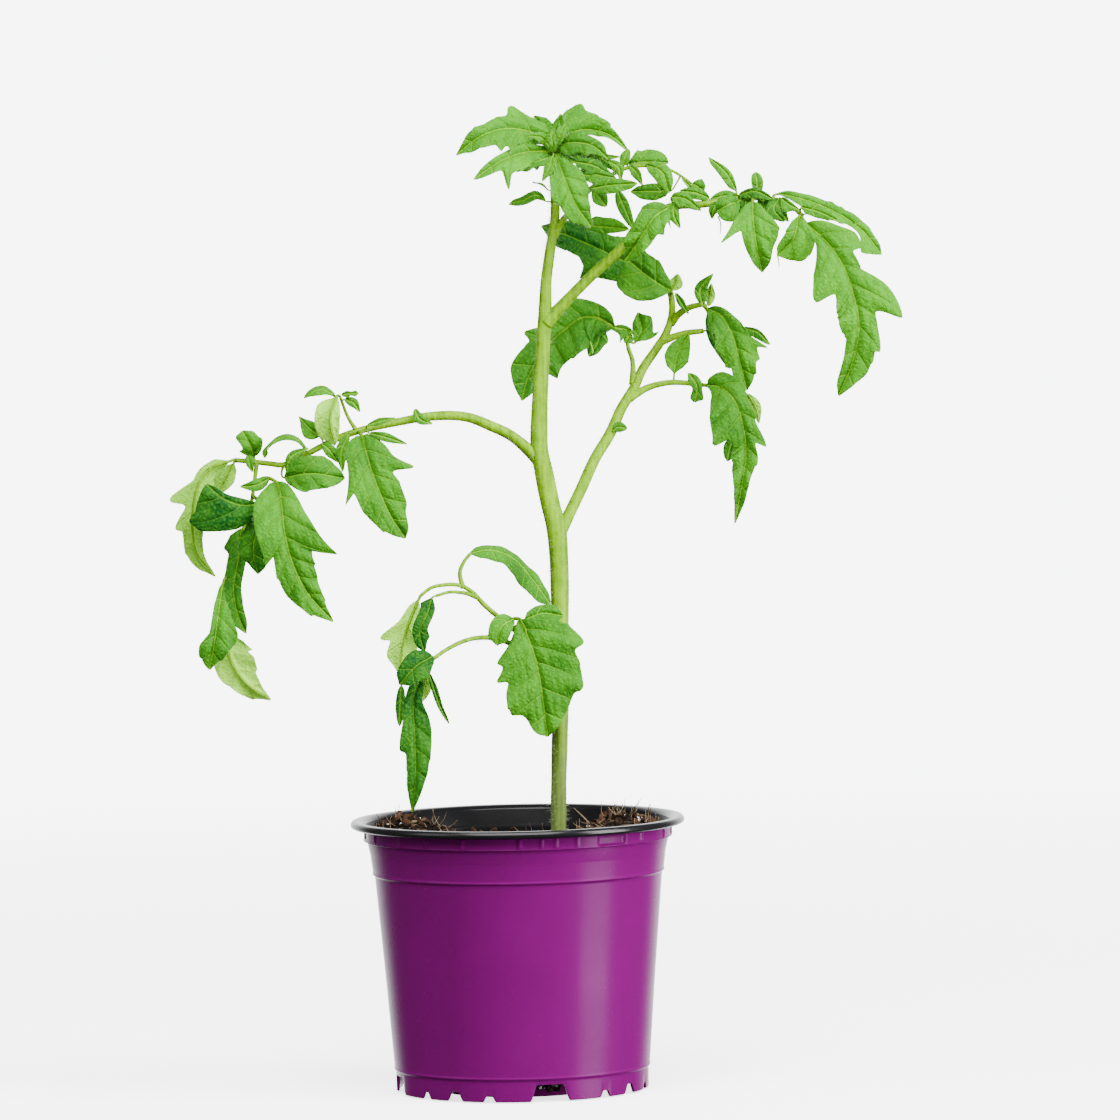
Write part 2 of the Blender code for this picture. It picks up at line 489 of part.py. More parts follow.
leaflet("right_leaflet_03", TO_FRONT, rib=[(47, 19.5, 267.5), (49, 21, 271), (47.5, 20.5, 277)],
    right=[(0.25, 4.6), (0.36, 3.2), (0.7, 4), (0.88, 2.6)], left=[(0.2, 1.8), (0.5, 4), (0.86, 2.6)])
leaflet("right_leaflet_05", TO_BACK, rib=[(58.5, 16.5, 255), (61.5, 17.5, 260.5), (65.5, 17.5, 269)],
    right=[(0.1, 2.2), (0.4, 3.6), (0.8, 2)], left=[(0.1, 2.2), (0.35, 3.6), (0.7, 2.4)])
leaflet("right_leaflet_06", TO_FRONT, rib=[(65, 9, 254.5), (68, 7.5, 250.5), (66.5, 7.5, 245)],
    right=[(0.15, 1.4), (0.5, 2.2), (0.85, 1.4)], left=[(0.15, 1.2), (0.4, 1.6), (0.85, 2.2)])
leaflet("right_leaflet_07", TO_FRONT, rib=[(70.5, 11, 250.5), (76, 4.5, 249.5), (81, 0, 244.5),
    (84, -2, 236.5), (85, -2, 227.5), (84, -2, 217), (82.5, 0, 209), (80, 2, 201)], right=[(0.06, 2),
    (0.15, 7), (0.25, 11), (0.37, 12.4), (0.52, 12.4), (0.49, 6), (0.56, 4.2), (0.66, 4.3), (0.78, 2.4),
    (0.88, 1)], left=[(0.04, 2.8), (0.12, 5.4), (0.2, 5.8), (0.3, 4.6), (0.42, 4.8), (0.55, 7.4),
    (0.53, 3.4), (0.6, 4), (0.72, 2.8), (0.88, 1.9)])
leaflet("right_leaflet_09", TO_BACK, rib=[(85.5, 11, 247.5), (88.5, 12, 242.5), (89.5, 11, 237)],
    right=[(0.12, 1.155), (0.45, 2.1), (0.85, 0.945)])
leaflet("right_leaflet_10", TO_FRONT, rib=[(70, 17.5, 281), (69, 18.5, 285.5), (73.5, 17.5, 291)],
    right=[(0.12, 0.825), (0.45, 1.5), (0.85, 0.675)])
leaflet("right_leaflet_12", TO_FRONT, rib=[(71.5, 16.5, 278.5), (76.5, 13, 276), (80.5, 11, 269),
    (83, 11, 259.5), (85.5, 13, 248.5)], right=[(0.1, 2.5), (0.25, 4.6), (0.48, 6), (0.7, 5.2),
    (0.7, 3.6), (0.86, 3.4)], left=[(0.08, 1.8), (0.25, 3.4), (0.48, 6.2), (0.62, 11.2), (0.6, 7.4),
    (0.7, 6.6), (0.86, 4)])
leaflet("right_leaflet_14", TO_BACK, rib=[(58, 21, 286.5), (51.5, 16, 289), (42.5, 16, 292)],
    right=[(0.08, 1.8), (0.35, 5), (0.62, 6.6), (0.85, 6)], left=[(0.15, 4.2), (0.36, 7.4),
    (0.62, 11.3), (0.82, 7)])
leaflet("right_leaflet_17", TO_FRONT, rib=[(55.5, 33, 289), (44.5, 33, 294.5), (32, 27, 301),
    (22, 20.5, 305.5), (13, 18.5, 309)], right=[(0.1, 4), (0.3, 8.6), (0.5, 6), (0.72, 6.6), (0.88, 4)],
    left=[(0.1, 4), (0.24, 6.2), (0.4, 8.4), (0.42, 5), (0.5, 10), (0.6, 12.5), (0.6, 4.4), (0.8, 4.8),
    (0.93, 2.6)])
leaflet("upper_leaflet_01", TO_FRONT, rib=[(58.5, -18.5, 315.5), (53.5, -22, 312.5), (48, -22, 305),
    (42, -17.5, 296.5)], right=[(0.1, 2.6), (0.3, 3.6), (0.5, 3.4), (0.65, 4), (0.85, 1.6)],
    left=[(0.08, 3.6), (0.3, 6.8), (0.58, 7.2), (0.57, 4.6), (0.72, 5.2), (0.86, 3.4)])
leaflet("upper_leaflet_04", TO_FRONT, rib=[(82.5, -11, 320.5), (79, -12, 327), (73, -11, 332.5)],
    right=[(0.12, 0.88), (0.4, 1.6), (0.85, 0.72)])
leaflet("upper_leaflet_06", TO_FRONT, rib=[(82.5, -20, 316), (78.5, -22, 316.5), (74.5, -21, 316)],
    right=[(0.12, 2.6), (0.4, 4.2), (0.7, 4), (0.9, 2.2)], left=[(0.12, 2.6), (0.4, 4.4), (0.6, 3.6),
    (0.8, 4), (0.93, 2)])
leaflet("upper_leaflet_08", TO_FRONT, rib=[(88, -20, 317), (88, -24, 310.5), (89.5, -25.5, 301.5),
    (91, -23, 291.5)], right=[(0.08, 3.6), (0.25, 5.6), (0.4, 8.2), (0.5, 10.8), (0.41, 4), (0.58, 3.8),
    (0.78, 2.4)], left=[(0.08, 3.4), (0.28, 6.4), (0.46, 8.2), (0.65, 6), (0.8, 3.8), (0.92, 1.8)])
leaflet("upper_leaflet_10", TO_FRONT, rib=[(104, -23, 311.5), (102.5, -26.5, 304.5),
    (96.5, -25.5, 297.5)], right=[(0.15, 2), (0.5, 4), (0.85, 2.8)], left=[(0.12, 2.4), (0.4, 6.3),
    (0.62, 7), (0.85, 4)])
leaflet("upper_leaflet_11", (0, -0.8, 0.6), rib=[(97, -6.5, 319.5), (103.5, -9, 318), (112.5, -10, 315),
    (120.5, -9, 311), (127.5, -7.5, 305.5), (134, -6.5, 297)], right=[(0.08, 1.4), (0.25, 3.4),
    (0.45, 4), (0.6, 6.2), (0.63, 2.6), (0.76, 2.6), (0.88, 5.2), (0.93, 2.6)], left=[(0.1, 1.2),
    (0.4, 1.6), (0.7, 1.8), (0.9, 1.5)])
leaflet("upper_leaflet_12", TO_FRONT, rib=[(106.5, -23, 309), (112, -28.5, 304), (118.5, -33, 295.5),
    (122.5, -35, 284.5), (124.5, -35, 274), (123, -33, 263), (117, -28.5, 247.5)], right=[(0.04, 2),
    (0.14, 3.4), (0.27, 10.7), (0.4, 12.8), (0.4, 5.2), (0.5, 6.8), (0.6, 6.6), (0.665, 5),
    (0.655, 3.6), (0.8, 3), (0.93, 2)], left=[(0.08, 4.4), (0.15, 6.6), (0.22, 8), (0.29, 7.8),
    (0.27, 4.4), (0.36, 4.6), (0.44, 9.9), (0.52, 13.1), (0.576, 14.9), (0.545, 5.2), (0.62, 6.2),
    (0.73, 8.7), (0.735, 6.8), (0.82, 6.4), (0.91, 3.8)])
leaflet("upper_leaflet_14", TO_FRONT, rib=[(59, -7.5, 321), (53, -8, 321), (45, -7, 321)],
    right=[(0.12, 1.045), (0.45, 1.9), (0.85, 0.855)])
leaflet("top_leaflet_01", (0, -1, 0.35), rib=[(14, -3, 342), (8, -5.5, 344.5), (0, -9, 344.5),
    (-9, -12.5, 341), (-17, -12.5, 335.5)], right=[(0.08, 4), (0.2, 4.2), (0.32, 5), (0.4, 7.6),
    (0.46, 3.6), (0.6, 3.5), (0.75, 3), (0.88, 1.6)], left=[(0.1, 3), (0.2, 5.4), (0.43, 8.8),
    (0.5, 6.2), (0.58, 7), (0.57, 4.8), (0.7, 4), (0.85, 3), (0.94, 1.2)])
leaflet("top_leaflet_02", TO_FRONT, rib=[(13.5, -5, 336), (6, -9.5, 335.5), (-2, -15, 332),
    (-10.5, -19, 326.5)], right=[(0.12, 1.4), (0.4, 2.2), (0.62, 1.9), (0.85, 1.1)], left=[(0.1, 3.2),
    (0.25, 6.6), (0.3, 5), (0.45, 5), (0.6, 8.4), (0.57, 2.6), (0.72, 2.2), (0.88, 1.2)])
leaflet("top_leaflet_03", TO_FRONT, rib=[(18.5, -6, 334.5), (21.5, -10.5, 326), (25, -14, 317.5),
    (30.5, -15, 309)], right=[(0.1, 2.4), (0.3, 4.4), (0.5, 4), (0.75, 2.4)], left=[(0.1, 3),
    (0.3, 6.4), (0.5, 6.8), (0.72, 4.8), (0.88, 2.6)])
leaflet("top_leaflet_04", (0, -1, 0.35), rib=[(20, 2, 342), (25, 2.5, 344), (31, 1.5, 344.5),
    (38, -1.5, 342), (44.5, -4, 336.5)], right=[(0.1, 1.5), (0.35, 3), (0.55, 2.8), (0.75, 1.5),
    (0.9, 0.9)], left=[(0.08, 4.2), (0.25, 7), (0.37, 8.6), (0.45, 6.6), (0.55, 5.4), (0.7, 3.4),
    (0.85, 1.8)])
leaflet("top_leaflet_05", TO_FRONT, rib=[(20.5, -3, 339.5), (28, -6.5, 340), (33, -9, 338),
    (36.5, -10, 333)], right=[(0.15, 2.4), (0.45, 4.6), (0.55, 3.6), (0.7, 4), (0.88, 1.6)],
    left=[(0.2, 1.4), (0.5, 2.1), (0.8, 1.6)])
leaflet("young_leaflet_02", TO_FRONT, rib=[(27, -6, 329.5), (32, -11.5, 327.5), (39.5, -14, 326)],
    right=[(0.15, 2.2), (0.5, 3.4), (0.85, 2)], left=[(0.15, 1.6), (0.5, 2.4), (0.85, 1.4)])
leaflet("young_leaflet_03", TO_FRONT, rib=[(30.5, -13, 322.5), (38, -17.5, 323.5), (47, -19.5, 324)],
    right=[(0.12, 0.99), (0.45, 1.8), (0.85, 0.81)])
leaflet("young_leaflet_05", TO_FRONT, rib=[(41, -11, 321), (42.5, -12.5, 316), (44.5, -12, 307.5)],
    right=[(0.12, 0.88), (0.4, 1.6), (0.85, 0.72)])
leaflet("young_leaflet_08", TO_FRONT, rib=[(44.5, -5, 332), (49.5, -6.5, 333.5), (58.5, -5.5, 331.5)],
    right=[(0.1, 1), (0.4, 1.7), (0.85, 0.8)], left=[(0.1, 2.2), (0.35, 2.8), (0.8, 2)])
leaflet("young_leaflet_10", TO_FRONT, rib=[(48.5, -12.5, 328), (53.5, -15.5, 327.5), (59, -14.5, 321)],
    right=[(0.12, 1.2), (0.45, 3), (0.8, 2.6)], left=[(0.12, 1), (0.5, 2.4), (0.85, 1.4)])
leaflet("young_leaflet_11", TO_FRONT, rib=[(27, 6, 309.5), (34, 7.5, 308.5), (44, 7.5, 307.5)],
    right=[(0.12, 1.21), (0.5, 2.2), (0.9, 0.99)])
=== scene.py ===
"""Looks of a young tomato plant in a 12 cm nursery pot.

Lengths are in millimetres and become metres through MM as each mesh is made. Shaders, lamps and
the camera are in metres. The front is -Y.
"""
import math

import bpy
import numpy as np
from mathutils import Matrix, Vector


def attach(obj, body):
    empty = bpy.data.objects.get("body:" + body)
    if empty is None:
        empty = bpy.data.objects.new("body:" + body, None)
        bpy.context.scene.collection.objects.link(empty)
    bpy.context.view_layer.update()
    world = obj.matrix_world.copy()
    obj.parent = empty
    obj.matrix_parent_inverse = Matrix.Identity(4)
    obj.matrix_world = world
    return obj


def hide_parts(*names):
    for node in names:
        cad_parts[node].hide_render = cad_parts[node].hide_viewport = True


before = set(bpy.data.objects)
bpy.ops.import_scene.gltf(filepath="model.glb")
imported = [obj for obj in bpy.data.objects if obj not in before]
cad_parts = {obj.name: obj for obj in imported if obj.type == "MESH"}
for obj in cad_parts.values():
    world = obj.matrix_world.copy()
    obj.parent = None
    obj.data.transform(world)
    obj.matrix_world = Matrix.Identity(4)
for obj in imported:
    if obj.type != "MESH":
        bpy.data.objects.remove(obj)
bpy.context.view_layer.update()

MM = 0.001
chance = np.random.default_rng(7)

# ------------------------------------------------------------------------------------------ pot
# A thin-walled pot moulded from two skins of polypropylene: purple outside and black inside. The
# black skin is rolled over at the top into the rim. Ribs and shallow windows under the rim keep
# stacked pots apart, and the foot ring is notched so that water can drain.

RIM_RADIUS = 60.0
POT_HEIGHT = 97.5
SKIN = 0.6                   # thickness of each of the two skins
BAND_RADIUS = 55.2
BAND_TOP = 94.3
BAND_FOOT = 90.4
STEP_HEIGHT = 78.2
STEP_RADIUS = 51.6
FOOT_RADIUS = 45.4
FOOT_HEIGHT = 8.2
BASE_RADIUS = 30.0
CHANNEL_HEIGHT = 6.4
DRAIN_ANGLE = 13.0
DRAIN_HALF_WIDTH = 8.2       # in degrees round the foot
DRAIN_HEIGHT = 6.0
# each notch: degrees past a drain, half-width in degrees, height
NOTCHES = ((28, 2.4, 2.4), (45, 3.4, 3.4), (62, 2.4, 2.2))
RIB_HEIGHT, WINDOW_DEPTH = 0.45, 0.7
BAND_RIBS = (-20.6, 0.9, 9.0, 14.4, 22.7, 53.0, 71.0, 84.0)
BAND_WINDOW = (31.5, 44.0)   # in degrees, in each third of the band, as the ribs are


def smoothstep(low, high, x):
    """0 below low and 1 above high, with 3f^2 - 2f^3 between them."""
    f = np.clip((x - low) / (high - low), 0, 1)
    return f * f * (3 - 2 * f)


def rounded(corners, radius, steps=4):
    """A profile whose corners are parabolas from radius before each corner to radius after it."""
    corners = np.array(corners, float)
    points = [corners[:1]]
    t = np.linspace(0, 1, steps + 1)[:, None]
    for before, corner, after in zip(corners, corners[1:], corners[2:]):
        back, on = before - corner, after - corner
        start = corner + back * min(radius / np.linalg.norm(back), 0.45)
        end = corner + on * min(radius / np.linalg.norm(on), 0.45)
        points.append((1 - t) ** 2 * start + 2 * t * (1 - t) * corner + t * t * end)
    points.append(corners[-1:])
    return np.concatenate(points)


def grid_faces(rows, columns, around=True):
    """Quads of a grid numbered row by row. With around, the last column joins the first."""
    i, j = np.meshgrid(np.arange(rows - 1), np.arange(columns if around else columns - 1),
                       indexing="ij")
    next_j = (j + 1) % columns
    return np.stack([i * columns + j, i * columns + next_j,
                     (i + 1) * columns + next_j, (i + 1) * columns + j], -1).reshape(-1, 4)


def capped(rows, columns):
    """Faces of a closed grid: quads round it, and one polygon across each end."""
    ends = [list(range(columns))[::-1], list(range((rows - 1) * columns, rows * columns))]
    return grid_faces(rows, columns).tolist() + ends


def add_piece(name, points, faces, material, values=None, replaces=None):
    """A smooth mesh object that rides on the plant's one body.

    The points are in millimetres. values maps the name of an attribute to a number per point.
    """
    mesh = bpy.data.meshes.new(name)
    mesh.from_pydata((np.reshape(points, (-1, 3)) * MM).tolist(), [], faces)
    mesh.shade_smooth()
    for attribute, numbers in (values or {}).items():
        layer = mesh.attributes.new(attribute, "FLOAT", "POINT")
        layer.data.foreach_set("value", np.ravel(numbers).astype(np.float32))
    mesh.materials.append(material)
    piece = bpy.data.objects.new(name, mesh)
    bpy.context.scene.collection.objects.link(piece)
    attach(piece, "root")
    if replaces:
        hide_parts(replaces)
    return piece


def turned(profile, count):
    """Points of a profile of (radius, height) turned about Z: one row for each profile point."""
    angle = np.linspace(0, 2 * math.pi, count, endpoint=False)
    radius, height = profile[:, :1], profile[:, 1:]
    return np.stack([radius * np.sin(angle), -radius * np.cos(angle),
                     height + 0 * angle], -1)


def foot_edge(angle):
    """Height of the foot's lower edge at an angle in degrees from the front: 0 except at notches."""
    edge = np.zeros_like(angle)
    for quarter in range(4):
        openings = [(DRAIN_ANGLE, DRAIN_HALF_WIDTH, DRAIN_HEIGHT)]
        openings += [(DRAIN_ANGLE + past, half, high) for past, half, high in NOTCHES]
        for centre, half, high in openings:
            off = np.abs((angle - centre - 90 * quarter + 180) % 360 - 180)
            slope = min(half * 0.55, 2.2)
            edge = np.maximum(edge, high * smoothstep(half + slope / 2, half - slope, off))
    return edge


def band_relief(angle, height):
    """How far the band stands out: RIB_HEIGHT at its ribs, and minus WINDOW_DEPTH at its windows."""
    relief = np.zeros(np.broadcast(angle, height).shape)
    inside = smoothstep(BAND_FOOT + 0.3, BAND_FOOT + 0.7, height)
    inside = inside * smoothstep(BAND_TOP + 0.1, BAND_TOP - 0.3, height)
    for third in (0, 120, 240):
        for rib in BAND_RIBS:
            off = np.abs((angle - rib - third + 180) % 360 - 180)
            relief += RIB_HEIGHT * inside * smoothstep(0.75, 0.3, off)
        start, end = BAND_WINDOW
        half = (end - start) / 2
        off = np.abs((angle - start - half - third + 180) % 360 - 180)
        relief -= WINDOW_DEPTH * inside * smoothstep(half + 0.3, half - 0.5, off)
    return relief


def new_node(tree, kind, **sockets):
    """A shader node, with inputs set by name from values or from other nodes' outputs."""
    made = tree.nodes.new("ShaderNode" + kind)
    for name, value in sockets.items():
        if name.startswith("set_"):
            setattr(made, name[4:], value)
            continue
        number = name[1:].isdigit()
        socket = made.inputs[int(name[1:]) if number else name.replace("_", " ")]
        if isinstance(value, bpy.types.NodeSocket):
            tree.links.new(value, socket)
        else:
            socket.default_value = value
    return made


def math_node(tree, operation, *values):
    """The output of a Math node."""
    return new_node(tree, "Math", set_operation=operation,
                    **{f"_{i}": v for i, v in enumerate(values)}).outputs[0]


def times(tree, first, second):
    """The product of two numbers or outputs."""
    return math_node(tree, "MULTIPLY", first, second)


def plus(tree, first, second):
    """The sum of two numbers or outputs."""
    return math_node(tree, "ADD", first, second)


def noise(tree, place, scale, detail):
    """Soft noise from 0 to 1."""
    return new_node(tree, "TexNoise", Vector=place, Scale=scale, Detail=detail).outputs[0]


def object_place(tree):
    """The place on the object, in metres."""
    return new_node(tree, "TexCoord").outputs["Object"]


def feed(tree, node, **outputs):
    """Links outputs to a node's inputs, by the inputs' names."""
    for name, output in outputs.items():
        tree.links.new(output, node.inputs[name.replace("_", " ")])


def bump(tree, height, strength, distance):
    """The normal of a relief."""
    return new_node(tree, "Bump", Height=height, Strength=strength, Distance=distance).outputs[0]


def ramp(tree, value, low, high, to_low=0.0, to_high=1.0):
    """The output of a smooth Map Range node, held outside its range."""
    return new_node(tree, "MapRange", set_interpolation_type="SMOOTHSTEP", Value=value,
                    From_Min=low, From_Max=high, To_Min=to_low, To_Max=to_high).outputs[0]


def blend(tree, factor, first, second):
    """The colour output of a Mix node."""
    made = tree.nodes.new("ShaderNodeMix")
    made.data_type = "RGBA"
    for socket, value in zip((made.inputs[0], made.inputs[6], made.inputs[7]),
                             (factor, first, second)):
        if isinstance(value, bpy.types.NodeSocket):
            tree.links.new(value, socket)
        else:
            socket.default_value = value
    return made.outputs[2]


def new_material(name, roughness, **constants):
    """A material with its Principled shader. Constants go on the shader's own sockets."""
    material = bpy.data.materials.new(name)
    material.use_nodes = True
    shader = material.node_tree.nodes["Principled BSDF"]
    shader.inputs["Roughness"].default_value = roughness
    for socket, value in constants.items():
        shader.inputs[socket.replace("_", " ")].default_value = value
    return material, material.node_tree, shader


def group_of(name, inputs, outputs):
    """An empty node group with its interface: (name, socket type, default) for each input."""
    tree = bpy.data.node_groups.new(name, "ShaderNodeTree")
    for label, kind, default in inputs:
        socket = tree.interface.new_socket(label, in_out="INPUT", socket_type=kind)
        if default is not None:
            socket.default_value = default
    for label, kind in outputs:
        tree.interface.new_socket(label, in_out="OUTPUT", socket_type=kind)
    return tree, tree.nodes.new("NodeGroupInput"), tree.nodes.new("NodeGroupOutput")


def use_group(tree, group, **sockets):
    """A node group placed in a material, with its inputs set."""
    return new_node(tree, "Group", set_node_tree=group, **sockets)


def make_moulded():
    """Moulded plastic: cloudy colour, roughness that varies, fine scratches and a faint ripple."""
    tree, given, result = group_of(
        "moulded_plastic",
        [("Colour", "NodeSocketColor", (0.5, 0.5, 0.5, 1)), ("Worn", "NodeSocketColor", (1, 1, 1, 1)),
         ("Roughness", "NodeSocketFloat", 0.35)],
        [("Colour", "NodeSocketColor"), ("Roughness", "NodeSocketFloat"),
         ("Height", "NodeSocketFloat")])
    place = object_place(tree)
    cloud = noise(tree, place, 38.0, 3.0)
    fine = noise(tree, place, 900.0, 2.0)
    stretched = new_node(tree, "Mapping", Vector=place, Scale=(260, 260, 2200)).outputs[0]
    scratch = ramp(tree, noise(tree, stretched, 1.0, 4.0), 0.66, 0.74)
    speck = ramp(tree, new_node(tree, "TexVoronoi", Vector=place, Scale=95.0).outputs["Distance"],
                 0.045, 0.03)
    wear = plus(tree, times(tree, scratch, 0.10), times(tree, speck, 0.35))
    darker = blend(tree, ramp(tree, cloud, 0.0, 1.0, 0.0, 0.18), given.outputs["Colour"],
                   (0, 0, 0, 1))
    rough = plus(tree, given.outputs["Roughness"], ramp(tree, cloud, 0.0, 1.0, -0.07, 0.08))
    height = plus(tree, times(tree, fine, 0.25), cloud)
    feed(tree, result, Colour=blend(tree, wear, darker, given.outputs["Worn"]),
         Roughness=plus(tree, rough, times(tree, wear, 0.5)),
         Height=math_node(tree, "SUBTRACT", height, scratch))
    return tree


moulded = make_moulded()


def plastic(name, colour, worn, roughness, relief, gloss, edge_gloss):
    """A moulded plastic of one colour, with a thin coat of gloss where it is seen edge on."""
    material, tree, shader = new_material(name, roughness, Specular_IOR_Level=gloss,
                                          Coat_Roughness=roughness)
    surface = use_group(tree, moulded, Colour=colour, Worn=worn, Roughness=roughness)
    facing = new_node(tree, "LayerWeight").outputs["Facing"]
    feed(tree, shader, Base_Color=surface.outputs["Colour"],
         Roughness=surface.outputs["Roughness"],
         Normal=bump(tree, surface.outputs["Height"], relief, 0.0001),
         Coat_Weight=ramp(tree, facing, 0.84, 0.98, 0.0, edge_gloss))
    return material


BLACK, WORN_BLACK = (0.004, 0.004, 0.0045, 1), (0.012, 0.012, 0.013, 1)
purple_plastic = plastic("purple_plastic", (0.078, 0.0, 0.062, 1), (0.11, 0.004, 0.10, 1),
                         0.25, 0.15, 0.04, 0.35)
black_plastic = plastic("black_plastic", BLACK, WORN_BLACK, 0.22, 0.25, 0.2, 0.1)
matt_black_plastic = plastic("matt_black_plastic", BLACK, WORN_BLACK, 0.35, 0.25, 0.03, 0.1)


def make_pot_wall():
    """The purple skin, from under the rim down to the foot ring and across the base."""
    outer = rounded([(1, 0), (BASE_RADIUS, 0), (BASE_RADIUS + 1.3, CHANNEL_HEIGHT),
                     (FOOT_RADIUS - 2.2, CHANNEL_HEIGHT), (FOOT_RADIUS - 1.1, CHANNEL_HEIGHT - 1),
                     (FOOT_RADIUS - 1.2, 0), (FOOT_RADIUS - 0.1, 0), (FOOT_RADIUS, FOOT_HEIGHT - 0.8),
                     (FOOT_RADIUS + 0.75, FOOT_HEIGHT), (FOOT_RADIUS + 0.5, FOOT_HEIGHT + 0.7),
                     (FOOT_RADIUS + 3.2, 43), (STEP_RADIUS, STEP_HEIGHT - 0.6),
                     (STEP_RADIUS + 0.95, STEP_HEIGHT), (STEP_RADIUS + 0.65, STEP_HEIGHT + 0.8),
                     (BAND_RADIUS - 1.5, BAND_FOOT - 0.6), (BAND_RADIUS + 0.2, BAND_FOOT)], 0.5)
    heights = [0.2, 0.45, 0.7, 1.6, 2.6, 3.2, 3.5, 3.8]
    band = [(BAND_RADIUS, BAND_FOOT + up) for up in heights]
    inner = rounded([(BAND_RADIUS + 0.1, BAND_TOP), (BAND_RADIUS - SKIN, BAND_TOP),
                     (BAND_RADIUS - SKIN - 0.4, BAND_FOOT), (STEP_RADIUS - SKIN + 0.6, STEP_HEIGHT),
                     (STEP_RADIUS - SKIN, STEP_HEIGHT - 0.6),
                     (FOOT_RADIUS - SKIN + 0.2, FOOT_HEIGHT - 0.6),
                     (FOOT_RADIUS - SKIN - 1.8, CHANNEL_HEIGHT + SKIN),
                     (BASE_RADIUS + 0.7, CHANNEL_HEIGHT + SKIN), (BASE_RADIUS - 0.6, SKIN),
                     (1, SKIN)], 0.5, 2)
    profile = np.concatenate([outer, band, inner])
    count = 600
    points = turned(profile, count)
    angle = np.linspace(0, 360, count, endpoint=False)
    in_foot = (profile[:, 0] > FOOT_RADIUS - 1.5) & (profile[:, 1] < FOOT_HEIGHT - 0.7)
    in_foot[len(outer):] = False
    foot_top = FOOT_HEIGHT - 0.8
    raised = foot_edge(angle) * (1 - points[..., 2] / foot_top)
    points[..., 2] += np.where(in_foot[:, None], raised, 0)
    outside = np.arange(len(profile)) < len(outer) + len(band)
    relief = band_relief(angle[None, :], profile[:, 1:]) * outside[:, None]
    points[..., 0] += relief * np.sin(np.radians(angle))
    points[..., 1] -= relief * np.cos(np.radians(angle))
    return points


def make_pot_lining():
    """The black skin: rim rolled outwards and down, ledge, wall and inner floor."""
    roll = [(BAND_RADIUS + 0.05, BAND_TOP + 0.1), (BAND_RADIUS + 0.3, BAND_TOP + 0.35),
            (RIM_RADIUS - 1.3, BAND_TOP + 0.3), (RIM_RADIUS - 0.2, BAND_TOP + 0.9),
            (RIM_RADIUS, POT_HEIGHT - 1.4), (RIM_RADIUS - 0.6, POT_HEIGHT - 0.2),
            (RIM_RADIUS - 2.0, POT_HEIGHT), (BAND_RADIUS + 1.0, POT_HEIGHT - 0.3),
            (BAND_RADIUS - 0.6, POT_HEIGHT - 1.6)]
    inside = [(BAND_RADIUS - 1.5, BAND_FOOT + 0.2), (BAND_RADIUS - 2.2, BAND_FOOT - 0.6),
              (STEP_RADIUS + 0.2, STEP_HEIGHT + 0.8), (STEP_RADIUS - 1.5, STEP_HEIGHT),
              (FOOT_RADIUS - 1.4, FOOT_HEIGHT), (FOOT_RADIUS - 2.2, CHANNEL_HEIGHT + 1.3),
              (BASE_RADIUS + 0.2, CHANNEL_HEIGHT + 1.3), (BASE_RADIUS - 1.4, 1.3), (1, 1.3)]
    back = [(1, 0.65), (BASE_RADIUS - 0.7, 0.65), (BASE_RADIUS + 0.6, CHANNEL_HEIGHT + 0.65),
            (FOOT_RADIUS - 2.3, CHANNEL_HEIGHT + 0.65), (FOOT_RADIUS - 0.5, FOOT_HEIGHT - 0.5),
            (STEP_RADIUS - 0.7, STEP_HEIGHT - 0.6), (STEP_RADIUS - 0.1, STEP_HEIGHT + 0.1),
            (BAND_RADIUS - 1.1, BAND_FOOT + 0.1), (BAND_RADIUS - 0.7, BAND_TOP - 0.1)]
    profile = np.concatenate([rounded(back + roll, 0.9, 5), rounded(inside, 0.6, 4)])
    return turned(profile, 288)


wall_points = make_pot_wall()
add_piece("pot_wall", wall_points, capped(*wall_points.shape[:2]), purple_plastic,
          replaces="pot")
lining_points = make_pot_lining()
lining = add_piece("pot_lining_and_rim", lining_points, capped(*lining_points.shape[:2]),
                   black_plastic).data
# the rim is glossy, and the wall and floor inside it are matt
lining.materials.append(matt_black_plastic)
middles = np.empty(len(lining.polygons) * 3)
lining.polygons.foreach_get("center", middles)
x, y, z = middles.reshape(-1, 3).T / MM
below_rim = (z < POT_HEIGHT - 2.5) & (np.hypot(x, y) < BAND_RADIUS - 0.2)
lining.polygons.foreach_set("material_index", below_rim.astype(np.int32))

# ----------------------------------------------------------------------------------- potting soil
# Loose dark peat with coconut fibres, bark chips, crumbs and a few white grains. It is banked up
# against the pot wall at the left and the right, and lies lower in the middle.

SOIL_LEVEL = 87.0
SOIL_RADIUS = BAND_RADIUS - 1.2 - 2.3


def heap(x, y):
    """Height of the soil over SOIL_LEVEL: two banks, each a bell curve in x and in y."""
    left = 8.5 * np.exp(-((x + 40) / 15) ** 2 - ((y - 16) / 26) ** 2)
    right = 9.0 * np.exp(-((x - 38) / 17) ** 2 - ((y - 6) / 30) ** 2)
    return left + right + 0.5 * np.sin(x * 0.31 + 1) * np.cos(y * 0.27)


def crumbled(x, y):
    """Lumps of peat: a sum of folded sine waves in random directions, from 9 mm down to 1.3 mm."""
    waves = 46
    length = 9.0 * (1.3 / 9.0) ** (np.arange(waves) / waves)
    turn = chance.uniform(0, 2 * math.pi, waves)
    phase = chance.uniform(0, 2 * math.pi, waves)
    along = x[..., None] * np.cos(turn) + y[..., None] * np.sin(turn)
    folded = np.abs(np.sin(along * 2 * math.pi / length + phase)) - 0.6
    return (folded * 0.062 * length ** 0.9).sum(-1)


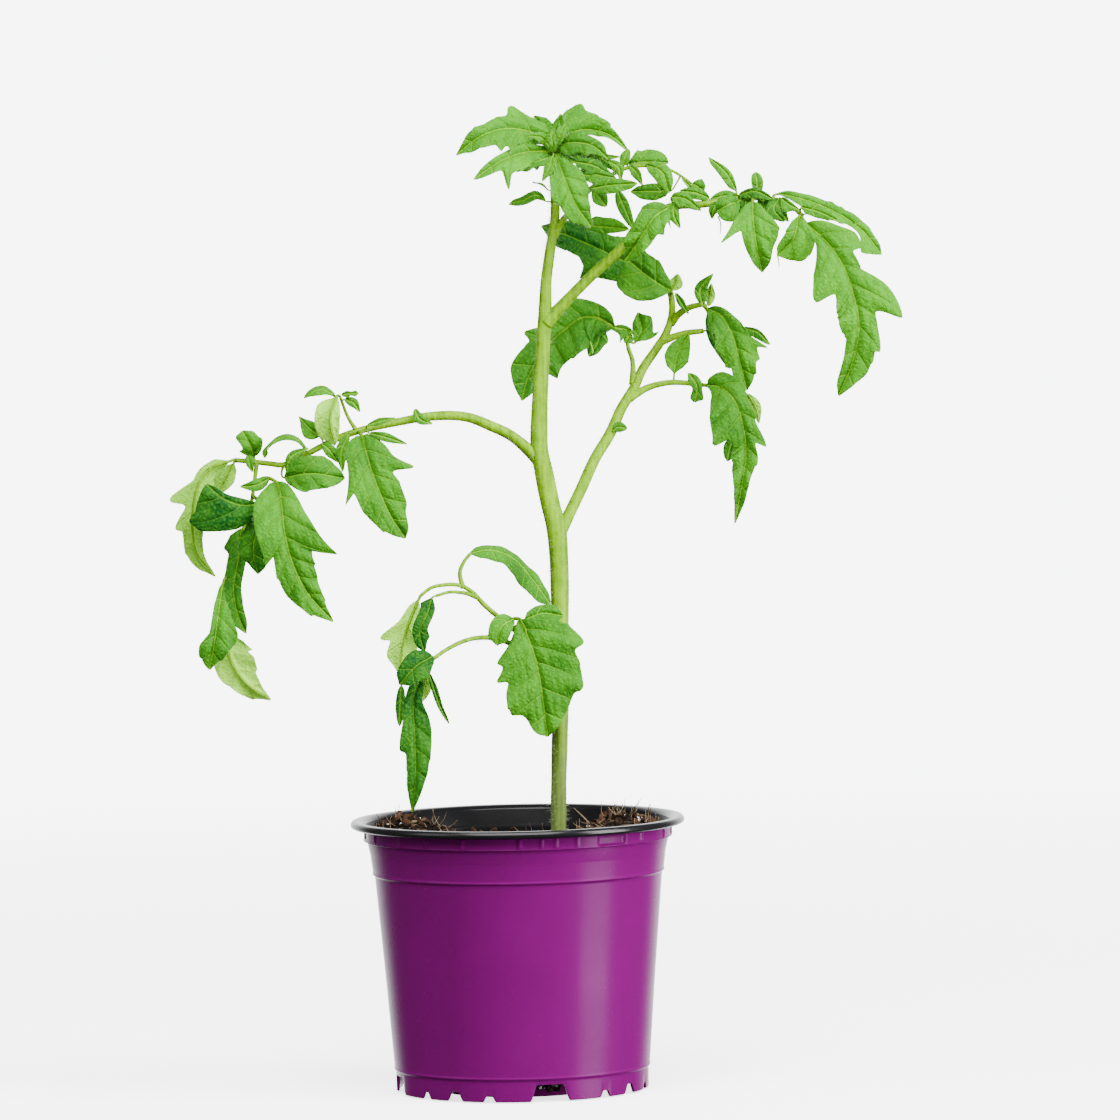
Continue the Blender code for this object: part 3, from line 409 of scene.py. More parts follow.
def make_soil():
    """Peat body: a disc of rings that follow the heap and its lumps, closed down to the base."""
    rings, count = 90, 240
    radius = np.linspace(SOIL_RADIUS, 0.4, rings)
    angle = np.linspace(0, 2 * math.pi, count, endpoint=False)
    x, y = radius[:, None] * np.sin(angle), -radius[:, None] * np.cos(angle)
    edge = smoothstep(SOIL_RADIUS + 0.1, SOIL_RADIUS - 2, radius)[:, None]
    top = np.stack([x, y, SOIL_LEVEL + heap(x, y) + crumbled(x, y) * (0.3 + 0.7 * edge)], -1)
    side = turned(np.array([(1, 1.5), (BASE_RADIUS - 1.9, 1.5),
                            (BASE_RADIUS - 0.3, CHANNEL_HEIGHT + 1.6),
                            (FOOT_RADIUS - 2.6, CHANNEL_HEIGHT + 1.6),
                            (STEP_RADIUS - 1.9, STEP_HEIGHT - 0.6)], float), count)
    return np.concatenate([side, top])


def scattered(count, spread):
    """Places on the soil, more of them in the two banks, as (x, y, z) with z on the surface."""
    banks = np.array([(-40, 14, 9, 17), (38, 4, 11, 20), (2, 10, 26, 26)])
    which = chance.choice(3, count, p=spread)
    x = banks[which, 0] + banks[which, 2] * chance.normal(size=count)
    y = banks[which, 1] + banks[which, 3] * chance.normal(size=count)
    far = np.maximum(np.hypot(x, y) / (SOIL_RADIUS - 2), 1)
    x, y = x / far, y / far
    return np.stack([x, y, SOIL_LEVEL + heap(x, y)], -1)


def grains(centres, sizes, flatness, roughness):
    """Lumpy grains: small globes of 6 by 7 points, squashed, turned and pushed about at random."""
    count, rows, columns = len(centres), 6, 7
    up = np.linspace(-0.5, 0.5, rows) * math.pi * 0.9
    round_about = np.linspace(0, 2 * math.pi, columns, endpoint=False)
    flat, high = np.cos(up)[:, None], np.sin(up)[:, None]
    globe = np.stack([flat * np.cos(round_about), flat * np.sin(round_about),
                      high + 0 * round_about], -1)
    shape = globe[None] * chance.uniform(1 - roughness, 1 + roughness, (count, rows, columns, 1))
    long = chance.uniform(0.8, 1.7, (count, 1, 1))
    shape = shape * np.stack([long, 1 / long, np.full_like(long, flatness)], -1)
    turn, _ = np.linalg.qr(chance.normal(size=(count, 3, 3)))
    turn *= np.sign(np.linalg.det(turn))[:, None, None]
    placed = np.einsum("nrcj,nkj->nrck", shape * sizes[:, None, None, None], turn)
    return placed + centres[:, None, None, :]


def many(points, values):
    """Faces and point values for many closed grids in one mesh, from points (n, rows, columns, 3)."""
    count, rows, columns = points.shape[:3]
    one = capped(rows, columns)
    step = rows * columns
    faces = [[corner + n * step for corner in face] for n in range(count) for face in one]
    return faces, {name: np.repeat(numbers, step) for name, numbers in values.items()}


def threads(starts, lengths, thickness, lift, bend, rows=8, sides=5):
    """Curved threads: each heads out at random, tilted up by lift, and turns as it goes."""
    count = len(starts)
    heading = chance.uniform(0, 2 * math.pi, count)
    climb = chance.normal(lift, 0.35, count)
    t = np.linspace(0, 1, rows)
    turning = heading[:, None] + t * chance.normal(0, bend, count)[:, None]
    climbing = climb[:, None] + t * chance.normal(0, bend * 0.7, count)[:, None]
    steps = np.stack([np.cos(turning) * np.cos(climbing), np.sin(turning) * np.cos(climbing),
                      np.sin(climbing)], -1)
    middle = starts[:, None] + np.cumsum(steps, 1) * (lengths / rows)[:, None, None]
    side = np.stack([-np.sin(turning), np.cos(turning), 0 * turning], -1)
    over = np.cross(steps, side)
    angle = np.linspace(0, 2 * math.pi, sides, endpoint=False)
    ring = side[:, :, None] * np.cos(angle)[:, None] + over[:, :, None] * np.sin(angle)[:, None]
    taper = (1 - 0.6 * t ** 2)[:, None, None]
    return middle[:, :, None] + ring * taper * (thickness / 2)[:, None, None, None]


def earth(name, dark, light, roughness, specular, scale):
    """A crumbly matt material whose colour is told by the shade attribute and by fine grains."""
    material, tree, shader = new_material(name, roughness, Specular_IOR_Level=specular)
    place = object_place(tree)
    shade = new_node(tree, "Attribute", set_attribute_name="shade").outputs["Fac"]
    grain = new_node(tree, "TexNoise", Vector=place, Scale=scale, Detail=5.0,
                     Roughness=0.65).outputs[0]
    speck = new_node(tree, "TexVoronoi", Vector=place, Scale=scale * 1.7).outputs["Distance"]
    mixed = plus(tree, shade, ramp(tree, grain, 0.3, 0.7, -0.35, 0.35))
    feed(tree, shader, Base_Color=blend(tree, mixed, dark, light),
         Normal=bump(tree, plus(tree, grain, times(tree, speck, 0.6)), 0.7, 0.0004))
    return material


peat = earth("peat", (0.0012, 0.0008, 0.0007, 1), (0.012, 0.0072, 0.0052, 1), 0.95, 0.05, 900.0)
fibre = earth("fibre", (0.008, 0.004, 0.002, 1), (0.17, 0.12, 0.07, 1), 0.8, 0.05, 700.0)
bark = earth("bark", (0.003, 0.0016, 0.0012, 1), (0.045, 0.023, 0.012, 1), 0.85, 0.05, 800.0)
white_grain = earth("white_grain", (0.25, 0.24, 0.22, 1), (0.6, 0.59, 0.56, 1), 0.9, 0.15, 1200.0)

soil_points = make_soil()
add_piece("potting_soil_body", soil_points, capped(*soil_points.shape[:2]), peat,
          {"shade": np.full(soil_points.shape[:2], 0.35)}, replaces="potting_soil")


def add_many(name, points, shades, material):
    """Many small closed shapes of the soil as one piece."""
    faces, values = many(points, {"shade": shades})
    add_piece(name, points, faces, material, values)


def add_grains(name, places, sizes, flatness, roughness, shades, material):
    """Many grains as one piece. sizes, in mm, and shades are ranges to draw from."""
    lumps = grains(places, chance.uniform(*sizes, len(places)), flatness, roughness)
    add_many(name, lumps, chance.uniform(*shades, len(places)), material)


add_grains("peat_crumbs", scattered(900, (0.35, 0.4, 0.25)) + (0, 0, 0.5), (0.35, 1.1), 0.7, 0.28,
           (0.1, 0.8), peat)
add_grains("bark_chips", scattered(150, (0.35, 0.5, 0.15)) + (0, 0, 1.3), (0.9, 2.1), 0.32, 0.25,
           (0.1, 1.0), bark)
add_grains("white_grains", scattered(36, (0.4, 0.4, 0.2)) + (0, 0, 0.9), (0.4, 0.9), 0.8, 0.2,
           (0.4, 1.0), white_grain)
IN_DRAIN, DARK_IN_DRAIN = 30, 22
drain = np.radians(DRAIN_ANGLE + chance.normal(0, 3.0, IN_DRAIN))
reach = chance.uniform(35, 42, IN_DRAIN)
drain_places = np.stack([reach * np.sin(drain), -reach * np.cos(drain),
                         chance.uniform(3.6, 6.0, IN_DRAIN)], -1)
add_grains("crumbs_in_drain", drain_places[:DARK_IN_DRAIN], (0.5, 1.2), 0.8, 0.25, (0.2, 0.9), peat)
add_grains("white_grains_in_drain", drain_places[DARK_IN_DRAIN:], (0.5, 0.9), 0.8, 0.2, (0.6, 1.0),
           white_grain)


def kept_in(points):
    """The points, drawn in towards the axis where they would pass through the pot's wall."""
    far = np.maximum(np.hypot(points[..., 0], points[..., 1]) / (SOIL_RADIUS + 0.5), 1)
    return points / np.stack([far, far, np.ones_like(far)], -1)


FIBRES = 260
fibre_places = scattered(FIBRES, (0.33, 0.57, 0.1)) + (0, 0, 0.3)
fibre_threads = threads(fibre_places, chance.uniform(4, 11, FIBRES),
                        chance.uniform(0.2, 0.55, FIBRES), 0.1, 1.3)
add_many("fibres", kept_in(fibre_threads), chance.uniform(0.1, 1.0, FIBRES), fibre)

# ------------------------------------------------------------------------- stem and leaf stalks
# Juicy green rods covered in fine white hairs. The stem is browner at its foot. Each leaf stalk
# flares where it grows from the stem, and side stalks branch from it.

STEM = [(14.8, 0, 78), (14.8, 0, 92.8), (15.2, 0, 110.7), (15.8, 0, 125), (16.3, 0, 139),
        (16.5, 0, 161), (16.7, 0, 175), (16.6, 0, 190), (16, 0, 200), (13.7, 0, 211),
        (11.7, 0, 222), (10.5, 0, 229), (10.6, 0, 240), (11.5, 0, 254), (12.4, 0, 265),
        (13.4, 0, 276), (14.2, 0, 290), (15.9, 0, 301), (17.7, 0, 312), (17.3, 0, 330),
        (16.8, 0, 337), (17.3, 0, 342)]
STEM_DIAMETERS = (5, 5.6, 5.6, 5.8, 6, 6.2, 6.5, 6.9, 7.1, 7, 6.7, 6.4, 6, 5.5, 5.2, 5, 4, 3.7,
                  3.3, 2.9, 2.5, 1.6)


def cubic(at, values, slopes, x):
    """Hermite cubic pieces through the values at the knots, with the given slopes."""
    i = np.clip(np.searchsorted(at, x) - 1, 0, len(at) - 2)
    span = at[i + 1] - at[i]
    f = np.clip((x - at[i]) / span, 0, 1)
    if values.ndim > 1:
        span, f = span[:, None], f[:, None]
    start = (1 + 2 * f) * (1 - f) ** 2 * values[i] + f * (1 - f) ** 2 * span * slopes[i]
    end = f * f * (3 - 2 * f) * values[i + 1] + f * f * (f - 1) * span * slopes[i + 1]
    return start + end


def along(points, count):
    """Evenly spaced points on a smooth curve through the given ones, and their distances."""
    knots = np.array(points, float)
    spans = np.linalg.norm(np.diff(knots, axis=0), axis=1)
    at = np.concatenate([[0], np.cumsum(spans)])
    curve = cubic(at, knots, np.gradient(knots, at, axis=0), np.linspace(0, at[-1], count))
    steps = np.linalg.norm(np.diff(curve, axis=0), axis=1)
    return curve, np.concatenate([[0], np.cumsum(steps)])


def rod(points, diameters, flare=0.0, sides=24, step=0.8):
    """Points and normals of a round rod with soft ridges, thicker by flare at its first end.

    The radius is half the diameter there, times 1 + flare * exp(-distance / 4 mm), and a ridge is a
    slow wave round the rod that winds a little along it.
    """
    length = along(points, 40)[1][-1]
    count = max(8, int(length / step))
    middle, distance = along(points, count)
    even = np.linspace(0, 1, len(diameters))
    if len(diameters) == len(points):
        knots = np.array(points, float)
        even = np.concatenate([[0], np.cumsum(np.linalg.norm(np.diff(knots, axis=0), axis=1))])
        even = even / even[-1]
    size = np.interp(np.linspace(0, 1, count), even, diameters) / 2
    size = size * (1 + flare * np.exp(-distance / 4))
    ahead = np.gradient(middle, axis=0)
    ahead /= np.linalg.norm(ahead, axis=1)[:, None]
    side = np.cross(ahead, (0.09, 0.98, 0.17))
    side /= np.linalg.norm(side, axis=1)[:, None]
    over = np.cross(ahead, side)
    angle = np.linspace(0, 2 * math.pi, sides, endpoint=False)
    out = side[:, None] * np.cos(angle)[:, None] + over[:, None] * np.sin(angle)[:, None]
    ridge = 1 + 0.035 * np.sin(3 * angle + distance[:, None] / 37 + 1)
    ridge = ridge + 0.012 * np.sin(distance[:, None] / 3.1 + 2 * angle)
    return middle[:, None] + out * (size[:, None] * ridge)[..., None], out


def stack_grids(grids):
    """One list of points and one of faces for several capped grids."""
    points, faces, total = [], [], 0
    for grid in grids:
        rows, columns = grid.shape[:2]
        faces += [[corner + total for corner in face] for face in capped(rows, columns)]
        points.append(grid.reshape(-1, 3))
        total += rows * columns
    return np.concatenate(points), faces


def hairs(points, outward, lengths, thickness=0.1):
    """Fine hairs: three-sided cones of 4 rows that stand out from a surface, with drooping tips."""
    count = len(points)
    lean = chance.normal(0, 0.35, (count, 3))
    t = np.linspace(0, 1, 4)
    first = outward + lean * 0.5
    middle = points[:, None] + lengths[:, None, None] * (
        first[:, None] * t[:, None] + (lean * 0.8 + (0, 0, -0.15))[:, None] * (t * t)[:, None] * 0.5)
    side = np.cross(outward, (0.31, 0.87, 0.38))
    side /= np.linalg.norm(side, axis=1)[:, None]
    over = np.cross(outward, side)
    angle = np.linspace(0, 2 * math.pi, 3, endpoint=False)
    ring = (side[:, None, None] * np.cos(angle)[:, None]
            + over[:, None, None] * np.sin(angle)[:, None])
    width = (thickness / 2) * (1 - 0.85 * t)[:, None, None]
    return middle[:, :, None] + ring * width


def hairs_on(grid, outward, per_mm2, low, high):
    """Hairs at random places on a rod, so many for each square millimetre of it."""
    rows, columns = grid.shape[:2]
    step = np.linalg.norm(grid[1:, 0] - grid[:-1, 0], axis=1).mean()
    around = np.linalg.norm(grid[:, 1] - grid[:, 0], axis=1).mean() * columns
    count = int(per_mm2 * step * rows * around)
    row, column = chance.integers(0, rows - 1, count), chance.integers(0, columns, count)
    f, g = chance.uniform(0, 1, (2, count, 1))
    beside = (column + 1) % columns
    place = (grid[row, column] * (1 - f) + grid[row + 1, column] * f) * (1 - g)
    place = place + (grid[row, beside] * (1 - f) + grid[row + 1, beside] * f) * g
    return hairs(place, outward[row, column], chance.uniform(low, high, count))


def make_mottle():
    """Living green: two greens in soft patches with fine pale dots, and their relief."""
    tree, given, result = group_of(
        "plant_mottle",
        [("Dark", "NodeSocketColor", (0, 0.1, 0, 1)), ("Light", "NodeSocketColor", (0.2, 0.5, 0, 1)),
         ("Tone", "NodeSocketFloat", 0.5), ("Patch", "NodeSocketFloat", 120.0),
         ("Dots", "NodeSocketFloat", 1500.0)],
        [("Colour", "NodeSocketColor"), ("Height", "NodeSocketFloat")])
    place = object_place(tree)
    patch = noise(tree, place, given.outputs["Patch"], 4.0)
    dots = noise(tree, place, given.outputs["Dots"], 2.0)
    # the given tone carries painted light and shade of the stem and the leaflets; the patches and dots
    # are the green's own
    tone = plus(tree, given.outputs["Tone"], ramp(tree, patch, 0.25, 0.75, -0.17, 0.17))
    tone = plus(tree, tone, ramp(tree, dots, 0.35, 0.7, -0.06, 0.1))
    feed(tree, result, Colour=blend(tree, tone, given.outputs["Dark"], given.outputs["Light"]),
         Height=plus(tree, dots, patch))
    return tree


mottle = make_mottle()


def make_stem_skin():
    """Stem skin: yellow-green, paler in streaks along it, with painted light from its pale attribute, and
    olive brown near the soil.
    """
    material, tree, shader = new_material("stem_skin", 0.5, Specular_IOR_Level=0.05)
    surface = use_group(tree, mottle, Dark=(0.018, 0.07, 0.0, 1), Light=(0.145, 0.30, 0.0, 1),
                        Patch=260.0, Dots=1800.0)
    # the pale attribute is each rod's paleness with painted light: a painted highlight in front and
    # painted shade towards its left
    pale = new_node(tree, "Attribute", set_attribute_name="pale").outputs["Fac"]
    place = object_place(tree)
    stretched = new_node(tree, "Mapping", Vector=place, Scale=(900, 900, 40)).outputs[0]
    streak = noise(tree, stretched, 1.0, 2.0)
    feed(tree, surface, Tone=plus(tree, pale, ramp(tree, streak, 0.3, 0.7, -0.2, 0.2)))
    height = new_node(tree, "SeparateXYZ", Vector=place).outputs["Z"]
    woody = ramp(tree, plus(tree, height, times(tree, streak, 0.03)), 0.185, 0.112)
    brown = blend(tree, streak, (0.02, 0.021, 0.011, 1), (0.11, 0.105, 0.055, 1))
    feed(tree, shader,
         Base_Color=blend(tree, times(tree, woody, 0.7), surface.outputs["Colour"], brown),
         Normal=bump(tree, plus(tree, surface.outputs["Height"], streak), 0.25, 0.0002))
    return material


stem_skin = make_stem_skin()
hair_white, _, _ = new_material("hair_white", 0.5, Base_Color=(0.24, 0.32, 0.15, 1))
downy = []                   # hairs of every rod, gathered as the rods are made
stalk_lines = []             # the middle line of every rod, for leaflets to grow from


def rod_tone_and_painted_light(outward, pale):
    """Paleness of a rod with painted light: a painted highlight along the line that faces the front, and
    painted shade towards the left edge.
    """
    facing = np.clip(-outward[..., 1], 0, 1)
    left = smoothstep(0.2, 0.9, -outward[..., 0])
    return pale + 0.25 * facing ** 3 - 0.28 * left


def add_rods(name, rods, pale, node, down=0.35):
    """One piece of several rods: the first is the main one, and the rest branch from it.

    A rod is its points, its diameters and its flare. Down is in hairs for each square millimetre.
    """
    grids, values = [], []
    for points, diameters, flare in rods:
        grid, outward = rod(points, diameters, flare)
        grids.append(grid)
        # paleness with a painted highlight in front and painted shade towards the left
        values.append(rod_tone_and_painted_light(outward, pale).ravel())
        downy.append(hairs_on(grid, outward, down, 0.6, 1.8))
        stalk_lines.append(grid.mean(1))
    points, faces = stack_grids(grids)
    add_piece(name, points, faces, stem_skin, {"pale": np.concatenate(values)},
              replaces=node)


add_rods("stem_skin_and_core", [(STEM, STEM_DIAMETERS, 0)], 0.55, "stem", down=0.5)
# the growing tip is downier than the rest
young_stem, young_outward = rod([(15.9, 0, 301), (17.7, 0, 312), (17.3, 0, 330), (17.3, 0, 341)],
                                (3.4, 3, 2.6, 1.6))
downy.append(hairs_on(young_stem, young_outward, 1.2, 1.0, 2.2))
add_rods("left_stalk", [
    ([(10.5, 0, 225.5), (8, -0.5, 228), (0, -3, 235), (-7, -5, 238.5), (-14, -8, 241.5),
      (-28, -13, 242.5), (-38.5, -15.5, 241), (-51.5, -17.5, 238.5), (-58.5, -18, 236.5),
      (-67.5, -19.5, 232.5), (-74.5, -20, 229), (-80.5, -20, 226.5), (-85.5, -20, 227),
      (-92.5, -20, 228), (-98, -20, 228.5)], (4.2, 3.4, 2.4, 1.7), 0.3),
    ([(-54, -18, 237.5), (-57.5, -18.5, 243.5), (-59, -18.5, 247.5), (-60, -19.5, 250.5)],
     (1.4, 1.0), 0.3),
    ([(-90, -20, 227.7), (-91, -24, 220), (-93, -22, 210), (-97, -20.5, 200), (-100, -19.5, 190),
      (-102, -17, 178), (-103, -15.5, 168)], (1.5, 0.8), 0.2)], 0.5, "left_petiole")
add_rods("upper_stalk", [
    ([(13.8, 0, 274.5), (19, -1, 280), (26, -2.5, 287), (33.5, -4.5, 294), (41, -7.5, 300.5),
      (48, -10.5, 307), (58, -12, 315), (70, -13, 316), (83.5, -13, 317.5), (90.5, -13.5, 318),
      (101.5, -14.5, 315), (105.5, -18.5, 311.5)], (4.2, 3.6, 2.6, 1.6), 0.35),
    # two thin withered threads that hang under the leaf
    ([(75.7, -15, 311.8), (76.6, -15, 309), (76.3, -15, 305.4)], (0.6, 0.3), 0),
    ([(96.2, -25, 298.6), (96.6, -25, 296), (96.9, -25, 293.4)], (0.6, 0.3), 0)], 0.5, "upper_petiole")
add_rods("right_stalk", [
    ([(16, 0, 196.5), (20.8, 1, 206), (25.4, 3.5, 215), (30.2, 5.5, 225), (36.2, 9.5, 234.5),
      (40.4, 12.5, 243.2), (44.8, 15.5, 250), (48.3, 18.5, 257), (52.8, 21.5, 263.2), (56.8, 23, 269.2),
      (59, 24, 275.5), (59.2, 25.5, 281.5), (58.5, 26.5, 285)], (4.3, 4.1, 3.9, 3.2, 2.2), 0.25),
    ([(44.5, 16, 251.5), (44.5, 17.5, 260.5), (43, 18, 265.5), (43, 18.5, 268), (40.5, 18, 271)],
     (2.1, 1.3), 0.3),
    ([(43.2, 14.5, 246.5), (50, 16, 250.2), (57, 15.5, 251.8), (64, 14.5, 251.6), (69.5, 12.5, 250.8)],
     (2.6, 1.7), 0.3),
    ([(55, 23, 266.5), (64.5, 22.5, 269.4), (70.5, 22, 270)], (2.6, 1.9), 0.3),
    ([(58.8, 24.2, 273), (61.6, 22, 276.2), (65.5, 20, 278.6), (70.5, 17.5, 279.8)], (2.6, 1.9), 0.3)],
    0.62, "right_petiole")
add_rods("lower_stalk", [
    ([(16, 0, 151.5), (9, -6.5, 159.5), (2, -12, 164.5), (-4.5, -16, 170), (-10, -18.5, 175),
      (-15, -21.5, 180.5), (-18.5, -23.5, 182.5), (-23.5, -25.5, 183), (-29, -26.5, 182),
      (-32.5, -27.5, 179.5)], (2.6, 1.2), 0.35),
    ([(-17.5, -23.2, 181.5), (-18.5, -24, 187.5), (-17, -24.5, 191), (-14.5, -24.5, 194)],
     (1.6, 1.2), 0.3),
    ([(-12.5, -20, 178), (-17.5, -25, 180), (-22.5, -28, 180.5), (-27, -31, 179.5)],
     (1.5, 1.1), 0.3)], 0.5, "lower_petiole")
add_rods("lowest_stalk", [
    ([(16, 0, 145), (9, -6, 153.5), (2, -11.5, 159), (-8, -20.5, 163.5), (-15.5, -26.5, 163.5),
      (-22.5, -31, 161), (-29, -34.5, 157)], (2.3, 1.4), 0.3)], 0.45, "lowest_petiole")
add_rods("young_stalk", [
    ([(17, 0, 305), (20, -1, 310.5), (24, -1.5, 315), (30.5, -3.5, 322), (38, -7, 327), (44, -8, 329.5),
      (52, -8, 330), (60, -6.5, 328), (66, -5, 324)], (2.4, 0.9), 0.3)], 0.45, "young_petiole")

# --------------------------------------------------------------------------------------- leaflets
# Thin soft blades, puckered between veins that are sunk on the upper side and stand out on the
# pale underside. Each lobe has a side vein that runs to its tip, and the edges are toothed.

TO_FRONT = (0, -1, 0.2)      # a leaflet whose upper side faces the front
TO_BACK = (0, 1, 0.2)        # a leaflet that shows its underside to the front
THICKNESS = 0.34
VEIN_SPACING = 8.0
ROW_SPACING = 0.5            # of the grid, along the midrib
ROW_LIMITS = (26, 130)       # fewest and most rows
COLUMN_SPACING = 0.42        # of the grid, across the leaflet
COLUMN_LIMITS = (7, 26)      # fewest and most columns on each side of the midrib
CURL = math.radians(14)      # how far the edges droop


def half_width(outline, length, sweep, rows):
    """Half-width of a leaflet at each row, from the outline's few (distance, width) points.

    Distances are percentages of the midrib, and widths are in mm. A row runs forward from the
    midrib at the sweep angle, as the side veins do, so an outline point belongs to the row that
    passes through it. Between points the edge is a cubic that never overshoots them.
    """
    at, width = [0.0], [0.5]
    for distance, out in outline:
        row = distance / 100 - out * math.tan(math.radians(sweep)) / length
        if row <= 0.012:
            if len(at) == 1:
                width[0] = max(width[0], out)
            continue
        at.append(max(row, at[-1] + 0.012))
        width.append(out)
    at.append(max(1.0, at[-1] + 0.02))
    width.append(0.25)
    at, width = np.array(at), np.array(width)
    rise = np.diff(width) / np.diff(at)
    slopes = np.concatenate([[rise[0]], np.zeros(len(at) - 2), [rise[-1]]])
    same = np.nonzero(rise[:-1] * rise[1:] > 0)[0]
    slopes[same + 1] = 2 * rise[same] * rise[same + 1] / (rise[same] + rise[same + 1])
    return np.maximum(cubic(at, width, slopes, rows), 0.25)


def vein_phase(widths, rows, length):
    """A count along the midrib that is a whole number where a side vein leaves it.

    There is a vein for each lobe, where the half-width peaks, and more in the gaps between them.
    """
    peak = (widths[1:-1] > widths[:-2]) & (widths[1:-1] >= widths[2:]) & (widths[1:-1] > 1.5)
    tips = rows[1:-1][peak]
    marks = [0.0]
    for tip in [*tips, 1.0]:
        gap = tip - marks[-1]
        extra = max(int(round(gap * length / VEIN_SPACING)), 1)
        marks += [marks[-1] + gap * (k + 1) / extra for k in range(extra)]
    count = np.arange(len(marks), dtype=float)
    count[0], count[-1] = 0.35, len(marks) - 1.35
    return np.interp(rows, marks, count)


def toothed_edge(outline, length, sweep, soft, rows, size, seed):
    """Half-widths and vein counts of one side of a leaflet at its rows, softened and toothed.

    A tooth rises slowly along the edge and drops back. There are 0.8 of them to a vein, and a slow
    wave makes some of them higher.
    """
    kernel = np.hanning(2 * int(soft * len(rows) / length) + 3)
    edge = np.pad(half_width(outline, length, sweep, rows), len(kernel) // 2, "edge")
    edge = np.convolve(edge, kernel / kernel.sum(), "valid")
    count = vein_phase(edge, rows, length)
    in_tooth = (0.8 * count + seed) % 1
    teeth = (0.75 * size * smoothstep(1, 4, edge) * (0.45 + 0.55 * np.sin(2.9 * count + seed))
             * in_tooth ** 1.3 * smoothstep(1, 0.85, in_tooth))
    return edge + teeth, count


def leaf_relief(row, edge, out, widths, phase, size, puffy, seed):
    """How far each point of a leaflet stands up from its plain fold.

    It is puffed up between the veins in small cells, sunk along the side veins and the midrib, and
    waved along its edges, which droop with the square of the way out.
    """
    to_vein = np.abs((phase + 0.5) % 1 - 0.5)
    puff = np.abs(np.sin(math.pi * phase)) ** 0.8 * smoothstep(0, 2.5 * size, out)
    cells = np.abs(np.sin(math.pi * out / (2.3 * size + 0.7) + 2.3 * np.floor(phase) + seed)) ** 0.8
    relief = 1.15 * puffy * puff * (0.55 + 0.45 * cells) * (1 - 0.5 * edge ** 4)
    vein = np.exp(-(to_vein * (VEIN_SPACING * size) / 0.8) ** 2)
    relief = relief - 0.3 * puffy * vein * (1 - 0.7 * edge)
    relief = relief - 0.7 * size * np.exp(-(out / (1.1 * size)) ** 2)
    wave = np.sin(2 * math.pi * phase * 0.5 + seed) + 0.5 * np.sin(2 * math.pi * phase + 2 * seed)
    relief = relief + 0.75 * size * edge ** 2 * wave * smoothstep(0, 5, widths)
    relief = relief + 0.5 * size * np.sin(row * 7 + 1.7 * seed) * np.sin(out / 3.5 + seed)
    return relief - CURL * edge ** 2 * widths * 0.5


def blade(rib, face, right, left, fold, sweep, soft, seed):
    """Grid of points on a leaflet, its upward normals, vein counts and distances from the midrib.

    A point lies at a distance u along the midrib and w to its side: the midrib's point at u, plus
    w times the sideways direction there, raised by the fold angle. Sideways is the midrib's
    direction crossed with the way the upper side faces, so the right half is w > 0.
    """
    middle, distance = along(rib, 120)
    length = distance[-1]
    widest = max(out for _, out in [*right, *left])
    row_count = int(np.clip(length / ROW_SPACING, *ROW_LIMITS))
    half_columns = int(np.clip(widest / COLUMN_SPACING, *COLUMN_LIMITS))
    rows = np.linspace(0, 1, row_count)
    side, row = np.meshgrid(np.linspace(-1, 1, 2 * half_columns + 1), rows)
    size = float(np.clip(widest / 9, 0.2, 1))
    edges, counts = zip(*[toothed_edge(outline, length, sweep, soft, rows, size, seed)
                          for outline in (left, right)])
    widths = np.where(side > 0, edges[1][:, None], edges[0][:, None])
    phase = np.where(side > 0, counts[1][:, None], counts[0][:, None])
    out = np.abs(side) * widths
    u = row * length + out * math.tan(math.radians(sweep))
    on_rib = np.clip(u, 0, length)
    heading = np.gradient(middle, distance, axis=0)
    heading /= np.linalg.norm(heading, axis=1)[:, None]
    place = np.stack([np.interp(on_rib, distance, middle[:, axis]) for axis in range(3)], -1)
    forward = np.stack([np.interp(on_rib, distance, heading[:, axis]) for axis in range(3)], -1)
    place = place + forward * (u - on_rib)[..., None]
    sideways = np.cross(forward, np.array(face, float))
    sideways /= np.linalg.norm(sideways, axis=-1)[..., None]
    up = np.cross(sideways, forward)
    tilt = math.radians(fold)
    place = place + sideways * (np.sign(side) * out * math.cos(tilt))[..., None]
    puffy = size * (0.4 if face[1] > 0.5 else 0.62)
    relief = leaf_relief(row, np.abs(side), out, widths, phase, size, puffy, seed)
    place = place + up * (out * math.sin(tilt) + relief)[..., None]
    normal = np.cross(np.gradient(place, axis=1), np.gradient(place, axis=0))
    normal /= np.maximum(np.linalg.norm(normal, axis=-1), 1e-9)[..., None]
    return place, normal, counts, np.sign(side) * out, half_columns


def thin_sheet(place, normal):
    """A closed sheet: the grid raised by half its thickness, then lowered, and the rim between.

    It is thickest along the midrib and thins to a third of that at its edges.
    """
    rows, columns = place.shape[:2]
    edge = np.abs(np.linspace(-1, 1, columns))
    half = THICKNESS / 2 * (1 - 0.66 * edge ** 2)[None, :, None]
    upper = grid_faces(rows, columns, around=False)
    lower = upper[:, ::-1] + rows * columns
    number = np.arange(rows * columns).reshape(rows, columns)
    ring = np.concatenate([number[0, :-1], number[:-1, -1], number[-1, :0:-1], number[:0:-1, 0]])
    on = np.roll(ring, -1)
    rim = np.stack([on, ring, ring + rows * columns, on + rows * columns], -1)
    points = np.concatenate([(place + normal * half).reshape(-1, 3),
                             (place - normal * half).reshape(-1, 3)])
    return points, np.concatenate([upper, lower, rim])


